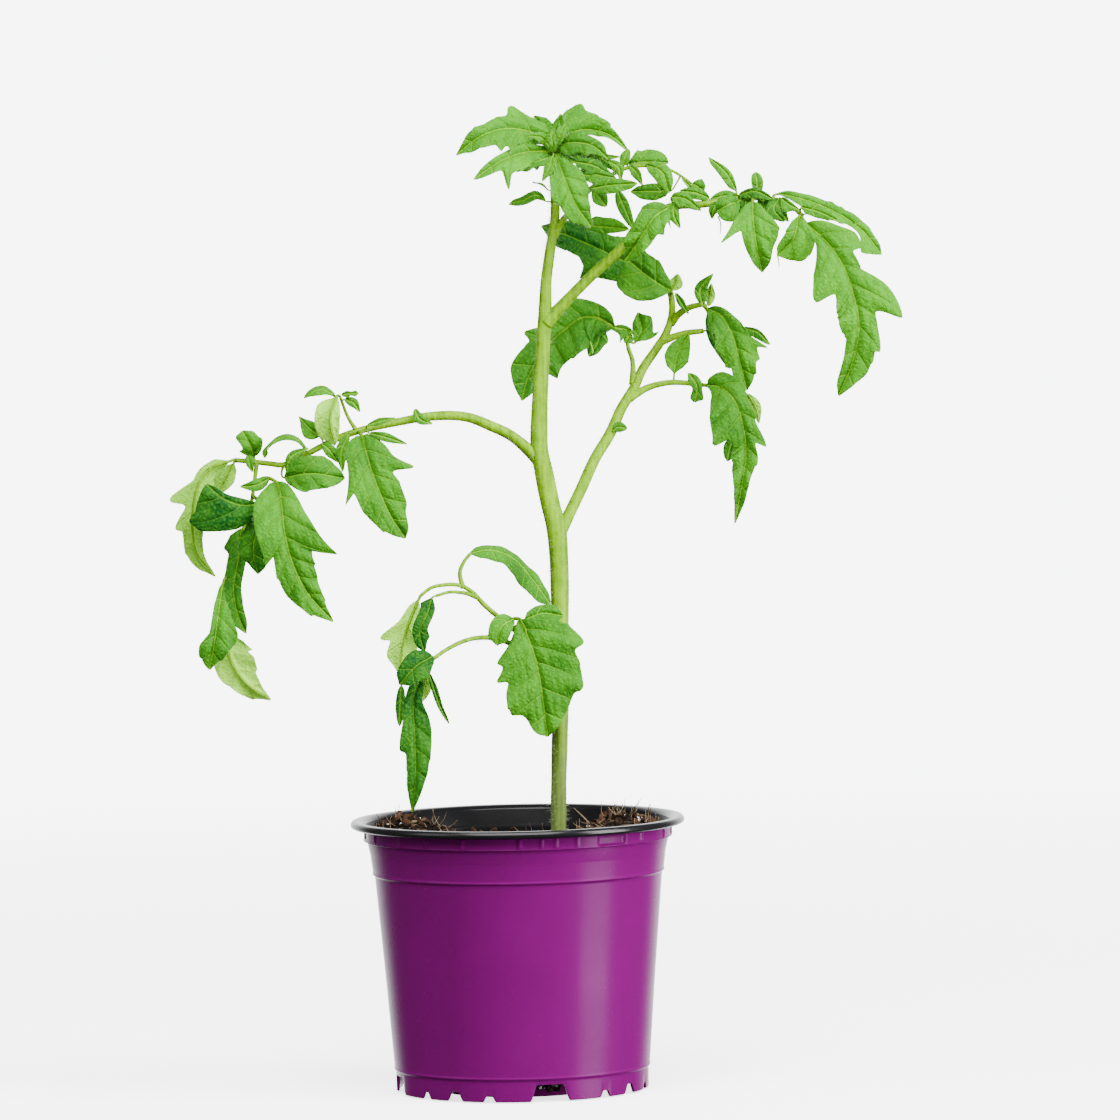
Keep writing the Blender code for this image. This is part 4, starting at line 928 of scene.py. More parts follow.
def make_leaf_skin():
    """Leaf: greens in patches, pale sunk veins with painted shade beside them, a fine net between them
    with painted shade in it, painted highlights on the puffed cells, and a pale underside.
    """
    material, tree, shader = new_material("leaf_skin", 0.5, Specular_IOR_Level=0.05)
    uv = new_node(tree, "SeparateXYZ", Vector=new_node(tree, "UVMap").outputs[0])
    # the tone attribute is partly each leaflet's own green and partly painted shade, low for leaflets in
    # shadow
    tone = new_node(tree, "Attribute", set_attribute_name="tone").outputs["Fac"]
    under = new_node(tree, "Attribute", set_attribute_name="underside").outputs["Fac"]
    place = object_place(tree)
    # the veins, from how near a side vein is and how far out the midrib is
    to_vein = math_node(tree, "PINGPONG", uv.outputs["X"], 0.5)
    out = math_node(tree, "ABSOLUTE", math_node(tree, "SUBTRACT", uv.outputs["Y"], 0.5))
    side_vein = times(tree, ramp(tree, to_vein, 0.045, 0.008),
                      ramp(tree, out, 0.42, 0.04, 0.25, 0.8))
    vein = math_node(tree, "MAXIMUM", side_vein, ramp(tree, out, 0.024, 0.007))
    # the fine net between the veins
    nudge = new_node(tree, "TexNoise", Vector=place, Scale=500.0, Detail=1.0)
    shifted = new_node(tree, "VectorMath", set_operation="MULTIPLY_ADD", _0=nudge.outputs["Color"],
                       _1=(0.0012, 0.0012, 0.0012), _2=place).outputs[0]
    net = new_node(tree, "TexVoronoi", set_feature="DISTANCE_TO_EDGE", Vector=shifted,
                   Scale=620.0).outputs["Distance"]
    net_line = ramp(tree, net, 0.13, 0.0)
    cell = ramp(tree, net, 0.0, 0.45)
    upper = use_group(tree, mottle, Dark=(0.001, 0.036, 0.007, 1), Light=(0.084, 0.345, 0.010, 1),
                      Tone=tone, Patch=90.0, Dots=1100.0)
    lower = use_group(tree, mottle, Dark=(0.115, 0.34, 0.015, 1), Light=(0.34, 0.70, 0.055, 1),
                      Tone=tone, Patch=140.0, Dots=1500.0)
    skin = blend(tree, under, upper.outputs["Colour"], lower.outputs["Colour"])
    # painted shade beside the sunk veins and in the net, a painted highlight on the puffed cells, and
    # pale on the veins
    painted_crease_shade = times(tree, ramp(tree, to_vein, 0.2, 0.02), ramp(tree, out, 0.5, 0.04, 0.2, 0.75))
    painted_crease_shade = math_node(tree, "MAXIMUM", painted_crease_shade, ramp(tree, out, 0.075, 0.01, 0.0, 0.7))
    painted_crease_shade = math_node(tree, "MAXIMUM", painted_crease_shade, times(tree, net_line, 0.35))
    above = math_node(tree, "SUBTRACT", 1.0, under)
    painted_crease_shade = times(tree, painted_crease_shade, math_node(tree, "MULTIPLY_ADD", above, 0.26, 0.08))
    shaded = blend(tree, painted_crease_shade, skin, (0.002, 0.06, 0.006, 1))
    painted_cell_highlight = blend(tree, times(tree, cell, 0.16), shaded, (0.12, 0.43, 0.012, 1))
    pale = blend(tree, under, (0.19, 0.46, 0.012, 1), (0.22, 0.43, 0.03, 1))
    vein_strength = times(tree, vein, ramp(tree, tone, 0.0, 0.55, 0.25, 0.7))
    colour = blend(tree, vein_strength, painted_cell_highlight, pale)
    grain = upper.outputs["Height"]
    height = math_node(tree, "SUBTRACT", times(tree, cell, 0.55), vein)
    height = plus(tree, height, times(tree, grain, 0.35))
    feed(tree, shader, Base_Color=colour, Roughness=ramp(tree, grain, 0.6, 1.4, 0.44, 0.62),
         Normal=bump(tree, height, 0.7, 0.0006))
    # light that comes through the blade
    lit = blend(tree, 0.5, colour, (0.135, 0.47, 0.018, 1))
    glow = new_node(tree, "BsdfTranslucent", Color=lit)
    mixed = new_node(tree, "MixShader", _0=0.34, _1=shader.outputs[0], _2=glow.outputs[0])
    feed(tree, tree.nodes["Material Output"], Surface=mixed.outputs[0])
    return material


leaf_skin = make_leaf_skin()
leaf_ribs = {}               # short stalk and midrib of every leaflet, gathered by leaf
leaf_hairs = {}              # hairs on the edges of the leaflets, gathered by leaf


def grow_rib(name, spine, upward, widest):
    """The midrib under a leaflet, and the short bowed stalk that joins it to the nearest rod.

    There is no stalk where that rod is nearer than 0.8 mm or farther than 17 mm.
    """
    lines = np.concatenate(stalk_lines)
    nearest = lines[np.linalg.norm(lines - spine[0], axis=1).argmin()]
    under = spine - upward * 0.3
    path = under[:: max(len(under) // 6, 1)]
    size = float(np.clip(0.55 + widest * 0.075, 0.6, 1.5))
    reach = np.linalg.norm(nearest - path[0])
    if 0.8 < reach < 17:
        bow = (nearest + path[0]) / 2 + (path[0] - path[1]) * min(0.3, reach / 40)
        path = np.concatenate([[nearest, bow], path])
    grid, outward = rod(path, (size, 0.2), sides=10, step=1.0)
    leaf_ribs.setdefault(name.split("_leaflet")[0], []).append((grid, outward))
    if reach > 3:
        downy.append(hairs_on(grid[: int(reach)], outward[: int(reach)], 0.5, 0.4, 0.9))


def fringe(leaf, place, normal, per_mm, longest):
    """Hairs that stand out from both edges of a leaflet, so many for each millimetre of edge."""
    for edge, beside in ((0, 1), (-1, -2)):
        line = place[:, edge]
        steps = np.linalg.norm(np.diff(line, axis=0), axis=1)
        count = int(per_mm * steps.sum())
        row = chance.choice(len(steps), count, p=steps / steps.sum())
        out = line[row] - place[row, beside]
        out = out / np.maximum(np.linalg.norm(out, axis=1), 1e-6)[:, None]
        out = out + normal[row, edge] * chance.uniform(-0.8, 1.0, (count, 1))
        out = out / np.linalg.norm(out, axis=1)[:, None]
        leaf_hairs.setdefault(leaf, []).append(
            hairs(line[row], out, chance.uniform(0.4, longest, count), 0.07))


def oval(widest):
    """The outline of a small plain leaflet."""
    return [(12, widest * 0.55), (45, widest), (85, widest * 0.45)]


def leaflet(name, face, tone, rib, right, left=None, fold=8, sweep=40, soft=0.5):
    """One leaflet: its midrib's points, then its outline right and left of the midrib.

    The tone goes from 0, dark, to 1, light: partly the leaflet's own green and partly painted shade, low
    for leaflets that lie in shadow. The left outline is the same as the right if not given.
    fold and sweep are in degrees, and soft, in mm, rounds the corners of the outline. The UV map
    holds the vein count and the distance out from the midrib.
    """
    seed = (sum(ord(letter) for letter in name) * 0.7) % 6.0
    place, normal, counts, out, middle = blade(rib, face, right, left or right, fold, sweep, soft,
                                               seed)
    points, faces = thin_sheet(place, normal)
    rows, columns = place.shape[:2]
    total = rows * columns
    values = {"tone": np.full(2 * total, tone), "underside": np.repeat([0.0, 1.0], total)}
    piece = add_piece(name, points, faces.tolist(), leaf_skin, values,
                      replaces=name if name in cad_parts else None)
    grow_rib(name, place[:, middle], normal[:, middle], max(out.max(), -out.min()))
    young = name.startswith(("top", "young"))
    fringe(name.split("_leaflet")[0], place, normal, *((2.2, 1.1) if young else (1.2, 0.7)))
    # the midrib's column has a vein count on each side, so the map is made by faces
    corner = faces % total
    row, column = corner // columns, corner % columns
    on_left = (column.mean(1) < middle)[:, None]
    phase = np.where(on_left, counts[0][row], counts[1][row])
    distance = 0.5 + 0.04 * np.abs(out[row, column])
    layer = piece.data.uv_layers.new(name="veins")
    layer.data.foreach_set("uv", np.stack([phase, distance], -1).astype(np.float32).ravel())


leaflet("left_leaflet_01", TO_BACK, 0.35, [(-100, -24, 228.5), (-108, -28.5, 225), (-112, -31, 215.5),
    (-113, -31, 204.5), (-111, -28.5, 195.5), (-105.5, -26.5, 188)], [(10, 3.5), (25, 5), (40, 4),
    (55, 3.8), (70, 3.2), (85, 1.6)], [(10, 2.2), (28, 2.2), (43, 8.5), (47, 2.6), (60, 6), (64, 3.6),
    (78, 4), (88, 3)])
leaflet("left_leaflet_02", TO_FRONT, 0.5, [(-90.7, -21, 229.5), (-92.2, -25, 234.5), (-94.7, -25, 239)],
    [(10, 2.6), (30, 3.4), (50, 4.8), (62, 3.9), (80, 3.4), (93, 1.8)], [(10, 2.2), (30, 3.2), (42, 4.8),
    (52, 3), (75, 3.2), (90, 3.4)])
leaflet("left_leaflet_03", TO_FRONT, 0.1, [(-89, -33, 213.5), (-95.5, -38, 213.5), (-101.5, -40, 216),
    (-107.5, -37, 221)], [(15, 1.6), (35, 2.6), (60, 2.2), (85, 1.6)], [(10, 4.5), (30, 8), (50, 11),
    (68, 13.6), (82, 14), (90, 9)], fold=-14)
leaflet("left_leaflet_04", TO_BACK, 0.45, [(-98, -22, 227.5), (-100.5, -23, 223), (-104, -24, 217.5)],
    [(12, 2), (50, 3.2), (85, 2.2)], [(12, 3), (45, 6.5), (80, 4.5)])
leaflet("left_leaflet_05", TO_FRONT, 0.52, [(-83, -28.5, 221.5), (-81, -37.5, 214), (-80, -42, 204.5),
    (-78, -42, 195), (-73, -39.5, 183), (-63.5, -33, 171)], [(4, 4.4), (10, 7.8), (18, 9.8), (28, 10.6),
    (38, 10), (46, 9), (53, 9.6), (49, 6), (60, 7), (70, 6.8), (80, 5.2), (90, 3)], [(6, 3.4), (15, 5.4),
    (27, 8.2), (40, 11.2), (52, 13.8), (62, 16), (53, 8), (60, 7), (72, 5.6), (82, 3.6), (92, 1.6)])
leaflet("left_leaflet_06", TO_FRONT, 0.2, [(-87, -29.5, 213.5), (-90, -34, 204.5), (-91.5, -34, 197),
    (-90, -32, 188.5)], [(15, 2.5), (40, 4.2), (70, 5), (80, 3)], [(30, 1.6), (60, 3.6), (85, 4.2)])
leaflet("left_leaflet_07", TO_FRONT, 0.35, [(-96, -22, 204.5), (-97, -25.5, 194.5), (-99, -26.5, 182.5),
    (-97.5, -26.5, 173.5), (-95, -24, 167)], [(8, 3.8), (20, 5.5), (27, 3.6), (50, 3.8), (75, 5.5),
    (90, 2.2)], [(6, 4), (20, 3.4), (40, 2.8), (60, 2.8), (85, 2.4)])
leaflet("left_leaflet_08", TO_FRONT, 0.45, [(-102.5, -33, 186), (-104, -44, 174.5), (-105.5, -46, 165),
    (-107.5, -44, 155.5)], [(10, 1.2), (40, 2), (62, 2.2), (76, 5), (92, 3)], [(20, 1.4), (40, 4),
    (62, 8), (80, 4.8), (92, 2)])
leaflet("left_leaflet_09", TO_BACK, 0.95, [(-103, -15.5, 168), (-101, -17.5, 157), (-96.5, -18.5, 149.5),
    (-87, -17.5, 143)], [(15, 6), (30, 8.6), (33, 6.8), (45, 8.4), (70, 5), (88, 2)], [(20, 5), (40, 6.5),
    (62, 4.8), (80, 3.6), (92, 1.6)])
leaflet("left_leaflet_10", TO_FRONT, 0.42, [(-80.5, -31, 222.5), (-70, -36.5, 224), (-58.5, -33, 222)],
    [(8, 3), (35, 6.4), (70, 5), (90, 2.6)], [(5, 3.2), (25, 6), (60, 6.2), (85, 4)], soft=1.2)
leaflet("left_leaflet_11", TO_FRONT, 0.55, [(-85.5, -27.5, 222), (-90, -31, 220), (-95.5, -29.5, 219.5)],
    oval(2.3))
leaflet("left_leaflet_12", TO_FRONT, 0.55, [(-52.5, -24, 237), (-51, -31, 231.5), (-47.5, -35, 220.5),
    (-43, -35, 209.5), (-37.5, -31, 200)], [(8, 4), (20, 7), (35, 8.4), (46, 10.5), (56, 13), (50, 9),
    (68, 7.8), (80, 5.8), (90, 3.4)], [(5, 3), (20, 6.6), (34, 9.6), (46, 14.8), (45.5, 7), (55, 7.8),
    (70, 7.2), (85, 4.8), (94, 2.4)])
leaflet("left_leaflet_13", TO_FRONT, 0.45, [(-49.5, -27.5, 237.5), (-43.5, -31, 236),
    (-36.5, -29.5, 233.5)], oval(1.7))
leaflet("left_leaflet_14", (0, -0.6, 1), 0.55, [(-61.5, -20, 251), (-66.5, -22, 253),
    (-72.5, -23, 250.5)], [(20, 2.6), (50, 3.2), (80, 2)], [(20, 2.6), (50, 3.2), (80, 2)])
leaflet("left_leaflet_15", TO_BACK, 0.7, [(-61, -22, 250.5), (-63.5, -25.5, 243.5), (-62, -23, 233.5)],
    [(10, 1.8), (40, 3.6), (80, 2.4)], [(8, 3.4), (30, 5.4), (55, 5.6), (80, 4.4), (93, 2)])
leaflet("left_leaflet_16", TO_FRONT, 0.55, [(-67, -21, 236.5), (-70.5, -23, 239), (-74.5, -22, 243.5)],
    [(12, 2.2), (35, 3.4), (60, 2.6), (85, 1)], [(12, 2.4), (40, 3.6), (65, 2.4), (87, 0.9)])
leaflet("left_leaflet_17", (0, -0.4, 1), 0.55, [(-72, -24, 232), (-75, -25.5, 235.5),
    (-79.5, -26.5, 236.5), (-83.5, -26.5, 235), (-86.5, -25.5, 232), (-87, -25.5, 229.5)], [(12, 1.8),
    (30, 2.8), (70, 2), (92, 1.2)])
leaflet("left_leaflet_18", TO_FRONT, 0.55, [(-66.5, -26.5, 234), (-64, -28.5, 232), (-61, -27.5, 227.5)],
    oval(2.2))
leaflet("left_leaflet_19", TO_FRONT, 0.55, [(-50.5, -22, 240), (-45.5, -22.5, 241.5),
    (-40.5, -22, 242.5)], oval(1.3))
leaflet("left_leaflet_20", TO_FRONT, 0.55, [(-33.5, -16.6, 245.5), (-32, -18.6, 242),
    (-27.5, -17.6, 240)], oval(1.8))
leaflet("left_leaflet_21", TO_FRONT, 0.55, [(-57, -23, 237), (-59.5, -24, 232), (-59.5, -24, 224)],
    oval(2.2))
leaflet("left_leaflet_22", TO_FRONT, 0.55, [(-93, -23, 230.5), (-92.5, -24.5, 227.5),
    (-91.5, -24, 224.5)], [(20, 1.2), (50, 1.3), (85, 0.6)], [(20, 2.2), (50, 2), (85, 0.8)])
leaflet("left_leaflet_23", TO_FRONT, 0.55, [(-59.5, -20, 251), (-56.5, -21, 251.5), (-53.5, -21, 251.5)],
    [(15, 0.9), (40, 1.6), (60, 0.8), (80, 1.2)], [(15, 0.8), (40, 1.1), (62, 0.6), (85, 1)])
leaflet("left_leaflet_24", TO_FRONT, 0.55, [(-58.5, -20, 249.5), (-55, -21.5, 248), (-53, -21.5, 245)],
    oval(1.8))
leaflet("left_leaflet_25", TO_FRONT, 0.55, [(-79.5, -26.5, 225), (-77.5, -27.5, 229.5),
    (-71.5, -25.5, 232.5)], oval(1.7))
leaflet("front_leaflet_01", TO_FRONT, 0.5, [(2, -18.5, 170), (6, -20.5, 161.5), (8.5, -20, 152.5),
    (10, -19.5, 141.5), (11.5, -17, 127.5)], [(15, 7), (29, 14), (34, 12.2), (48, 15.4), (51, 11.6),
    (62, 13), (78, 12), (79, 8), (93, 4.8)], [(19, 15), (33, 18.4), (37, 14), (46, 15), (60, 15.2),
    (68, 11.2), (86, 6.4)], sweep=30, soft=1.4)
leaflet("front_leaflet_02", TO_FRONT, 0.5, [(4, -15.5, 169.5), (10, -14.5, 171.5), (17.5, -13, 170.5)],
    [(15, 3), (40, 4.4), (70, 3.8), (90, 2.4)], [(12, 2), (40, 3), (70, 3), (88, 2)], soft=1.2)
leaflet("front_leaflet_03", TO_FRONT, 0.5, [(0.5, -17.5, 170), (-4, -21.5, 167.5), (-6, -22, 161)],
    [(15, 3.2), (45, 4.2), (80, 3.6)], [(15, 2.8), (50, 4), (80, 3.4)], soft=1.2)
leaflet("lower_leaflet_01", (0.3, -0.75, 0.65), 0.42, [(-15, -24.5, 194), (-8, -22, 195), (0, -18, 192),
    (7.5, -14, 183.5), (13.5, -12, 174.5)], [(8, 2.6), (25, 3.8), (50, 4.4), (70, 5), (90, 3.6)],
    [(8, 2.4), (30, 3.4), (65, 4), (90, 3)], fold=-15)
leaflet("lower_leaflet_02", TO_BACK, 0.75, [(-33.5, -28.5, 178), (-37, -32, 170), (-39.5, -33, 161),
    (-40.5, -32, 152)], [(10, 1.8), (30, 3.8), (55, 5), (80, 4.4)], [(12, 2.1), (35, 3.5), (58, 8.2),
    (62, 4.7), (75, 5.1), (90, 2.5)])
leaflet("lower_leaflet_03", TO_FRONT, 0.12, [(-28.5, -32, 179), (-30, -34, 174), (-33, -35, 167),
    (-31.5, -34, 160)], [(15, 3.5), (25, 3.1), (55, 2.8), (85, 2.3)], [(20, 2.2), (50, 2.4), (75, 3.4),
    (85, 2)])
leaflet("lowest_leaflet_01", TO_FRONT, 0.15, [(-28.5, -37.5, 158.5), (-34.5, -43, 155.5),
    (-40.5, -42, 149)], [(12, 3.1), (40, 5.1), (80, 3.5)], [(10, 2.4), (45, 6), (80, 3.6)])
leaflet("lowest_leaflet_02", TO_FRONT, 0.12, [(-31.5, -34, 154), (-35.5, -36.5, 144.5),
    (-35.5, -38.5, 131), (-35.5, -37.5, 117), (-37, -35, 103)], [(12, 2.5), (32, 3.5), (48, 5.1),
    (56, 5.7), (60, 3.5), (80, 2.9)], [(12, 2.2), (22, 3), (36, 5.4), (50, 6), (65, 4.9), (82, 3)])
leaflet("lowest_leaflet_03", TO_FRONT, 0.1, [(-30, -32, 152), (-28, -33, 145.5), (-26.5, -32, 140.5),
    (-23.5, -29.5, 134)], [(12, 0.8), (30, 1.2), (85, 0.7)], [(12, 0.8), (30, 1.2), (85, 0.7)])
leaflet("lowest_leaflet_04", TO_FRONT, 0.15, [(-40, -31, 148), (-40.5, -31.5, 141.5), (-41, -31, 133.5)],
    [(12, 1.2), (45, 1.8), (85, 1.1)], [(12, 1.2), (45, 1.8), (85, 1.1)])
leaflet("lowest_leaflet_05", TO_BACK, 0.8, [(-31, -31, 151.5), (-32, -31.5, 147), (-33, -31, 142)],
    [(12, 1.7), (45, 2.6), (85, 1.5)], [(12, 1.9), (45, 2.8), (85, 1.7)])
leaflet("right_leaflet_01", TO_FRONT, 0.38, [(38.5, 17, 272), (33, 17.5, 275.5), (27, 16, 276),
    (20, 14.5, 271.5), (12, 14.5, 263.5), (7, 15, 255), (4.5, 15, 246.5)], [(5, 2.4), (20, 6.2),
    (30, 7.4), (42, 6.8), (50, 6.4), (60, 9.4), (62, 5.6), (70, 6.8), (80, 7.4), (88, 5.2), (95, 2.4)],
    [(3, 8.8), (10, 9.6), (12, 7.8), (20, 13.4), (25, 14), (27, 10), (32, 11.4), (40, 10.6), (50, 9.8),
    (62, 9), (74, 10), (74, 6), (82, 5), (93, 3.2)], sweep=20, soft=1)
leaflet("right_leaflet_02", TO_FRONT, 0.5, [(45, 18.5, 270.5), (41.5, 18, 271.5), (37, 16.5, 272)],
    [(15, 1), (50, 1.4), (85, 0.8)], [(10, 2.4), (35, 5.4), (50, 5.6), (62, 2.6), (85, 1.4)])
leaflet("right_leaflet_03", TO_FRONT, 0.5, [(45.5, 19.5, 266.5), (48, 21, 270.5), (47, 20.5, 277)],
    [(5, 5), (16, 6.6), (22, 4), (45, 4.2), (70, 4.4), (88, 2.4)], [(12, 2.4), (40, 3.4), (65, 3.2),
    (86, 2)])
leaflet("right_leaflet_04", TO_FRONT, 0.5, [(44.5, 17.5, 270), (43.5, 18, 268.5), (42, 17.5, 266.5)],
    [(15, 1.4), (50, 2), (85, 1.2)], [(15, 1.4), (45, 2.2), (85, 1.2)])
leaflet("right_leaflet_05", TO_FRONT, 0.72, [(59.5, 16.5, 255), (60.5, 17.5, 261), (65, 17.5, 269)],
    [(10, 3), (35, 4.6), (70, 3.4), (90, 1.6)], [(10, 3), (40, 4.4), (80, 2.4)])
leaflet("right_leaflet_06", TO_FRONT, 0.5, [(64.5, 9, 255.5), (67.5, 7.5, 250.5), (66.5, 7.5, 245)],
    [(15, 1.8), (40, 2.2), (60, 1.8), (88, 2)], [(15, 1.6), (40, 2), (60, 1.8), (84, 3), (95, 1.4)])
leaflet("right_leaflet_07", TO_FRONT, 0.45, [(70.5, 11, 251), (76.5, 4.5, 250), (81, 0, 245),
    (83.5, -2, 236.5), (84.5, -2, 227.5), (83, -2, 217), (81.5, 0, 209), (80, 2, 201.5)], [(6, 2),
    (15, 6.6), (25, 10), (37, 11.4), (52, 11.6), (49, 6), (56, 4.6), (66, 4.6), (78, 2.8), (88, 1.6)],
    [(4, 2.8), (12, 5.4), (20, 5.8), (30, 4.6), (42, 4.8), (55, 7.4), (53, 3.4), (60, 4), (72, 2.8),
    (88, 1.9)])
leaflet("right_leaflet_08", TO_FRONT, 0.25, [(80.5, 9, 232.5), (79, 10, 227.5), (78, 9, 223.5)],
    [(12, 1.8), (45, 2.7), (85, 1.7)], [(12, 1.6), (45, 2.5), (85, 1.5)])
leaflet("right_leaflet_09", TO_BACK, 0.5, [(85.5, 11, 247.5), (88.5, 12, 242.5), (89.5, 11, 237)],
    oval(2.1))
leaflet("right_leaflet_10", TO_FRONT, 0.5, [(70.5, 17.5, 279), (69.5, 18.5, 284.5), (74, 17.5, 290.5)],
    oval(2.3))
leaflet("right_leaflet_11", TO_BACK, 0.5, [(72.5, 18.5, 279), (73, 20, 282.5), (73.5, 18.5, 287)],
    oval(1.9))
leaflet("right_leaflet_12", TO_FRONT, 0.55, [(71.5, 16.5, 278.5), (76.5, 13, 276), (80.5, 11, 269),
    (83, 11, 259.5), (85.5, 13, 248.5)], [(3, 2.4), (10, 5), (22, 7), (34, 6), (50, 7.2), (62, 5.4),
    (72, 5.6), (73, 3.8), (88, 3.2)], [(8, 1.8), (25, 3.4), (42, 5.2), (50, 6.4), (62, 11), (60, 7.2),
    (72, 7.4), (74, 5.6), (88, 3.6)])
leaflet("right_leaflet_13", TO_FRONT, 0.3, [(71.5, 23, 270), (75.5, 25.5, 266.5), (79, 25.5, 259)],
    oval(3))
leaflet("right_leaflet_14", TO_FRONT, 0.5, [(59.5, 21, 284.5), (51, 17, 290), (43.5, 16, 296.5)],
    [(12, 3.5), (35, 5.7), (60, 6.7), (90, 5.3)], [(6, 1.6), (22, 6), (48, 9.8), (74, 10.6), (94, 7)],
    soft=1.5)
leaflet("right_leaflet_15", TO_BACK, 0.4, [(58.7, 25.5, 285), (60.7, 26.5, 287), (61.7, 26.5, 290.5)],
    [(12, 1.5), (45, 2.6), (85, 1.3)], [(12, 1.5), (45, 2.6), (85, 1.3)])
leaflet("right_leaflet_16", TO_FRONT, 0.3, [(60.5, 18.5, 284), (62.5, 17.5, 280.5), (65, 17.5, 276.5)],
    oval(1.4))
leaflet("right_leaflet_17", TO_FRONT, 0.16, [(55.5, 33, 289), (44.5, 33, 294.5), (32, 27, 301),
    (22, 20.5, 305.5), (13, 18.5, 309)], [(10, 4), (30, 8.6), (50, 6), (72, 6.6), (88, 4)], [(8, 4),
    (20, 6.6), (30, 8.4), (42, 9.8), (53, 11.6), (60, 13), (62, 8), (68, 5.4), (78, 5.4), (88, 5),
    (95, 2.8)])
leaflet("right_leaflet_18", TO_FRONT, 0.5, [(37, 6.8, 235), (39, 6.3, 236.5), (42, 6.3, 236)], [(12, 1.4),
    (45, 2.1), (85, 1.2)], [(12, 1.4), (45, 2.1), (85, 1.2)])
leaflet("upper_leaflet_01", TO_FRONT, 0.55, [(58.5, -18.5, 315.5), (53.5, -22, 312.5), (48, -22, 305),
    (42, -17.5, 296.5)], [(8, 3.4), (30, 5.4), (50, 4.8), (65, 5), (85, 2.2)], [(3, 7.5), (10, 5),
    (20, 4.6), (30, 5.2), (39, 6.6), (45, 4.6), (60, 4.4), (75, 3.8), (88, 2.6)])
leaflet("upper_leaflet_02", TO_FRONT, 0.6, [(60, -17, 317.5), (60, -18.5, 312.5), (62, -18, 308)],
    oval(2.1))
leaflet("upper_leaflet_03", TO_FRONT, 0.6, [(59, -17, 319), (63.5, -19, 318.5), (69.5, -18, 314)],
    [(10, 2), (35, 4), (50, 2.8), (75, 2), (90, 1)], [(10, 1.4), (35, 2.2), (60, 1.4), (85, 1)])
leaflet("upper_leaflet_04", TO_FRONT, 0.6, [(82.5, -11, 320.5), (79, -12, 327), (73, -11, 332.5)],
    [(12, 0.9), (40, 1.6), (85, 0.7)], [(12, 1.8), (40, 2.5), (85, 1.6)])
leaflet("upper_leaflet_05", TO_FRONT, 0.6, [(90, -11, 319.5), (90, -12, 323), (89.5, -11, 327)],
    [(15, 1.8), (50, 2.2), (85, 1.6)], [(15, 1.8), (50, 2.2), (85, 1.8)])
leaflet("upper_leaflet_06", TO_FRONT, 0.6, [(83.5, -19, 317.2), (79, -22, 315.7), (75, -21, 313.7)],
    [(8, 2.4), (30, 4), (50, 3), (66, 3.8), (85, 2.6)], [(8, 4), (30, 6.2), (42, 4.6), (60, 6.2),
    (80, 5.2), (93, 3.2)])
leaflet("upper_leaflet_07", TO_FRONT, 0.4, [(76, -15, 317), (74, -16, 314), (73.5, -15, 311)], oval(1.8))
leaflet("upper_leaflet_08", TO_FRONT, 0.68, [(88, -20, 317.5), (88, -24, 310.5), (89, -25.5, 301.5),
    (91, -23, 291.5)], [(8, 4.2), (25, 6.4), (40, 9), (52, 12.4), (43, 4.6), (58, 4.4), (78, 3),
    (90, 1.8)], [(8, 4), (28, 6.8), (46, 8.6), (65, 6.4), (80, 4.4), (92, 2.2)])
leaflet("upper_leaflet_09", TO_FRONT, 0.6, [(93.5, -17.5, 317), (97, -18.5, 314), (100.5, -18.5, 309.5)],
    oval(2.4))
leaflet("upper_leaflet_10", TO_FRONT, 0.72, [(104, -23, 311.5), (102.5, -26.5, 304.5),
    (96.5, -25.5, 297.5)], [(15, 2), (50, 3.4), (85, 2.6)], [(12, 3), (40, 7.2), (62, 8.2), (85, 5.4)])
leaflet("upper_leaflet_11", (0, -0.8, 0.6), 0.66, [(97, -6.5, 319.5), (103.5, -9, 318), (112.5, -10, 315),
    (120.5, -9, 311), (127.5, -7.5, 305.5), (134, -6.5, 297)], [(8, 1.4), (25, 3.4), (45, 4), (55, 4),
    (63, 2.4), (76, 2.8), (88, 6), (95, 3.4)], [(10, 1.8), (40, 2.6), (70, 2.6), (90, 1.9)])
leaflet("upper_leaflet_12", TO_FRONT, 0.68, [(106.5, -23, 309), (112, -28.5, 304), (118.5, -33, 295.5),
    (122.5, -35, 284.5), (124.5, -35, 274), (123, -33, 263), (117, -28.5, 247.5)], [(4, 2), (14, 3.4),
    (28, 10.9), (45, 14), (45, 6.4), (52, 7.4), (60, 7.4), (66.5, 5.8), (68, 4.4), (80, 3.6), (93, 2.4)],
    [(8, 4.6), (15, 7.2), (22, 10), (28, 9.4), (29, 5), (36, 5), (44, 10.8), (52, 14), (59, 15.4),
    (57.5, 5.8), (62, 6.4), (73, 8.7), (73.5, 6.8), (82, 6.4), (91, 3.8)])
leaflet("upper_leaflet_13", TO_FRONT, 0.6, [(107, -16.5, 312), (110.5, -17.5, 313), (115, -16.5, 309.5)],
    oval(1.8))
leaflet("upper_leaflet_14", TO_FRONT, 0.5, [(59, -7.5, 321), (53, -8, 321), (45, -7, 321)], [(12, 2),
    (40, 3), (80, 2)], [(12, 2), (40, 3.4), (70, 3), (88, 1.6)])
leaflet("top_leaflet_01", (0, -1, 0.35), 0.66, [(16.5, -2, 340), (9, -5, 343.5), (0, -9, 344.5),
    (-9, -12.5, 341.5), (-17, -12.5, 335.5)], [(8, 4.4), (20, 5.2), (30, 6.6), (37, 8.4), (41, 7.6),
    (44, 4.2), (52, 4.4), (62, 3.8), (77, 3.2), (90, 1.6)], [(6, 3.2), (20, 5.2), (36, 7.2), (48, 9.6),
    (52, 6.8), (60, 8.2), (64, 5.2), (74, 4.8), (87, 3.2), (95, 1.3)])
leaflet("top_leaflet_02", TO_FRONT, 0.66, [(16.5, -3, 336), (8, -8, 336), (-1, -14, 333),
    (-10.5, -19, 327)], [(8, 2), (30, 2.8), (50, 2.4), (66, 2.2), (86, 1.6)], [(5, 4.8), (18, 7.2),
    (26, 5.8), (36, 5.6), (46, 6.2), (60, 6), (76, 10.4), (70, 3.4), (80, 2.6), (92, 1.6)])
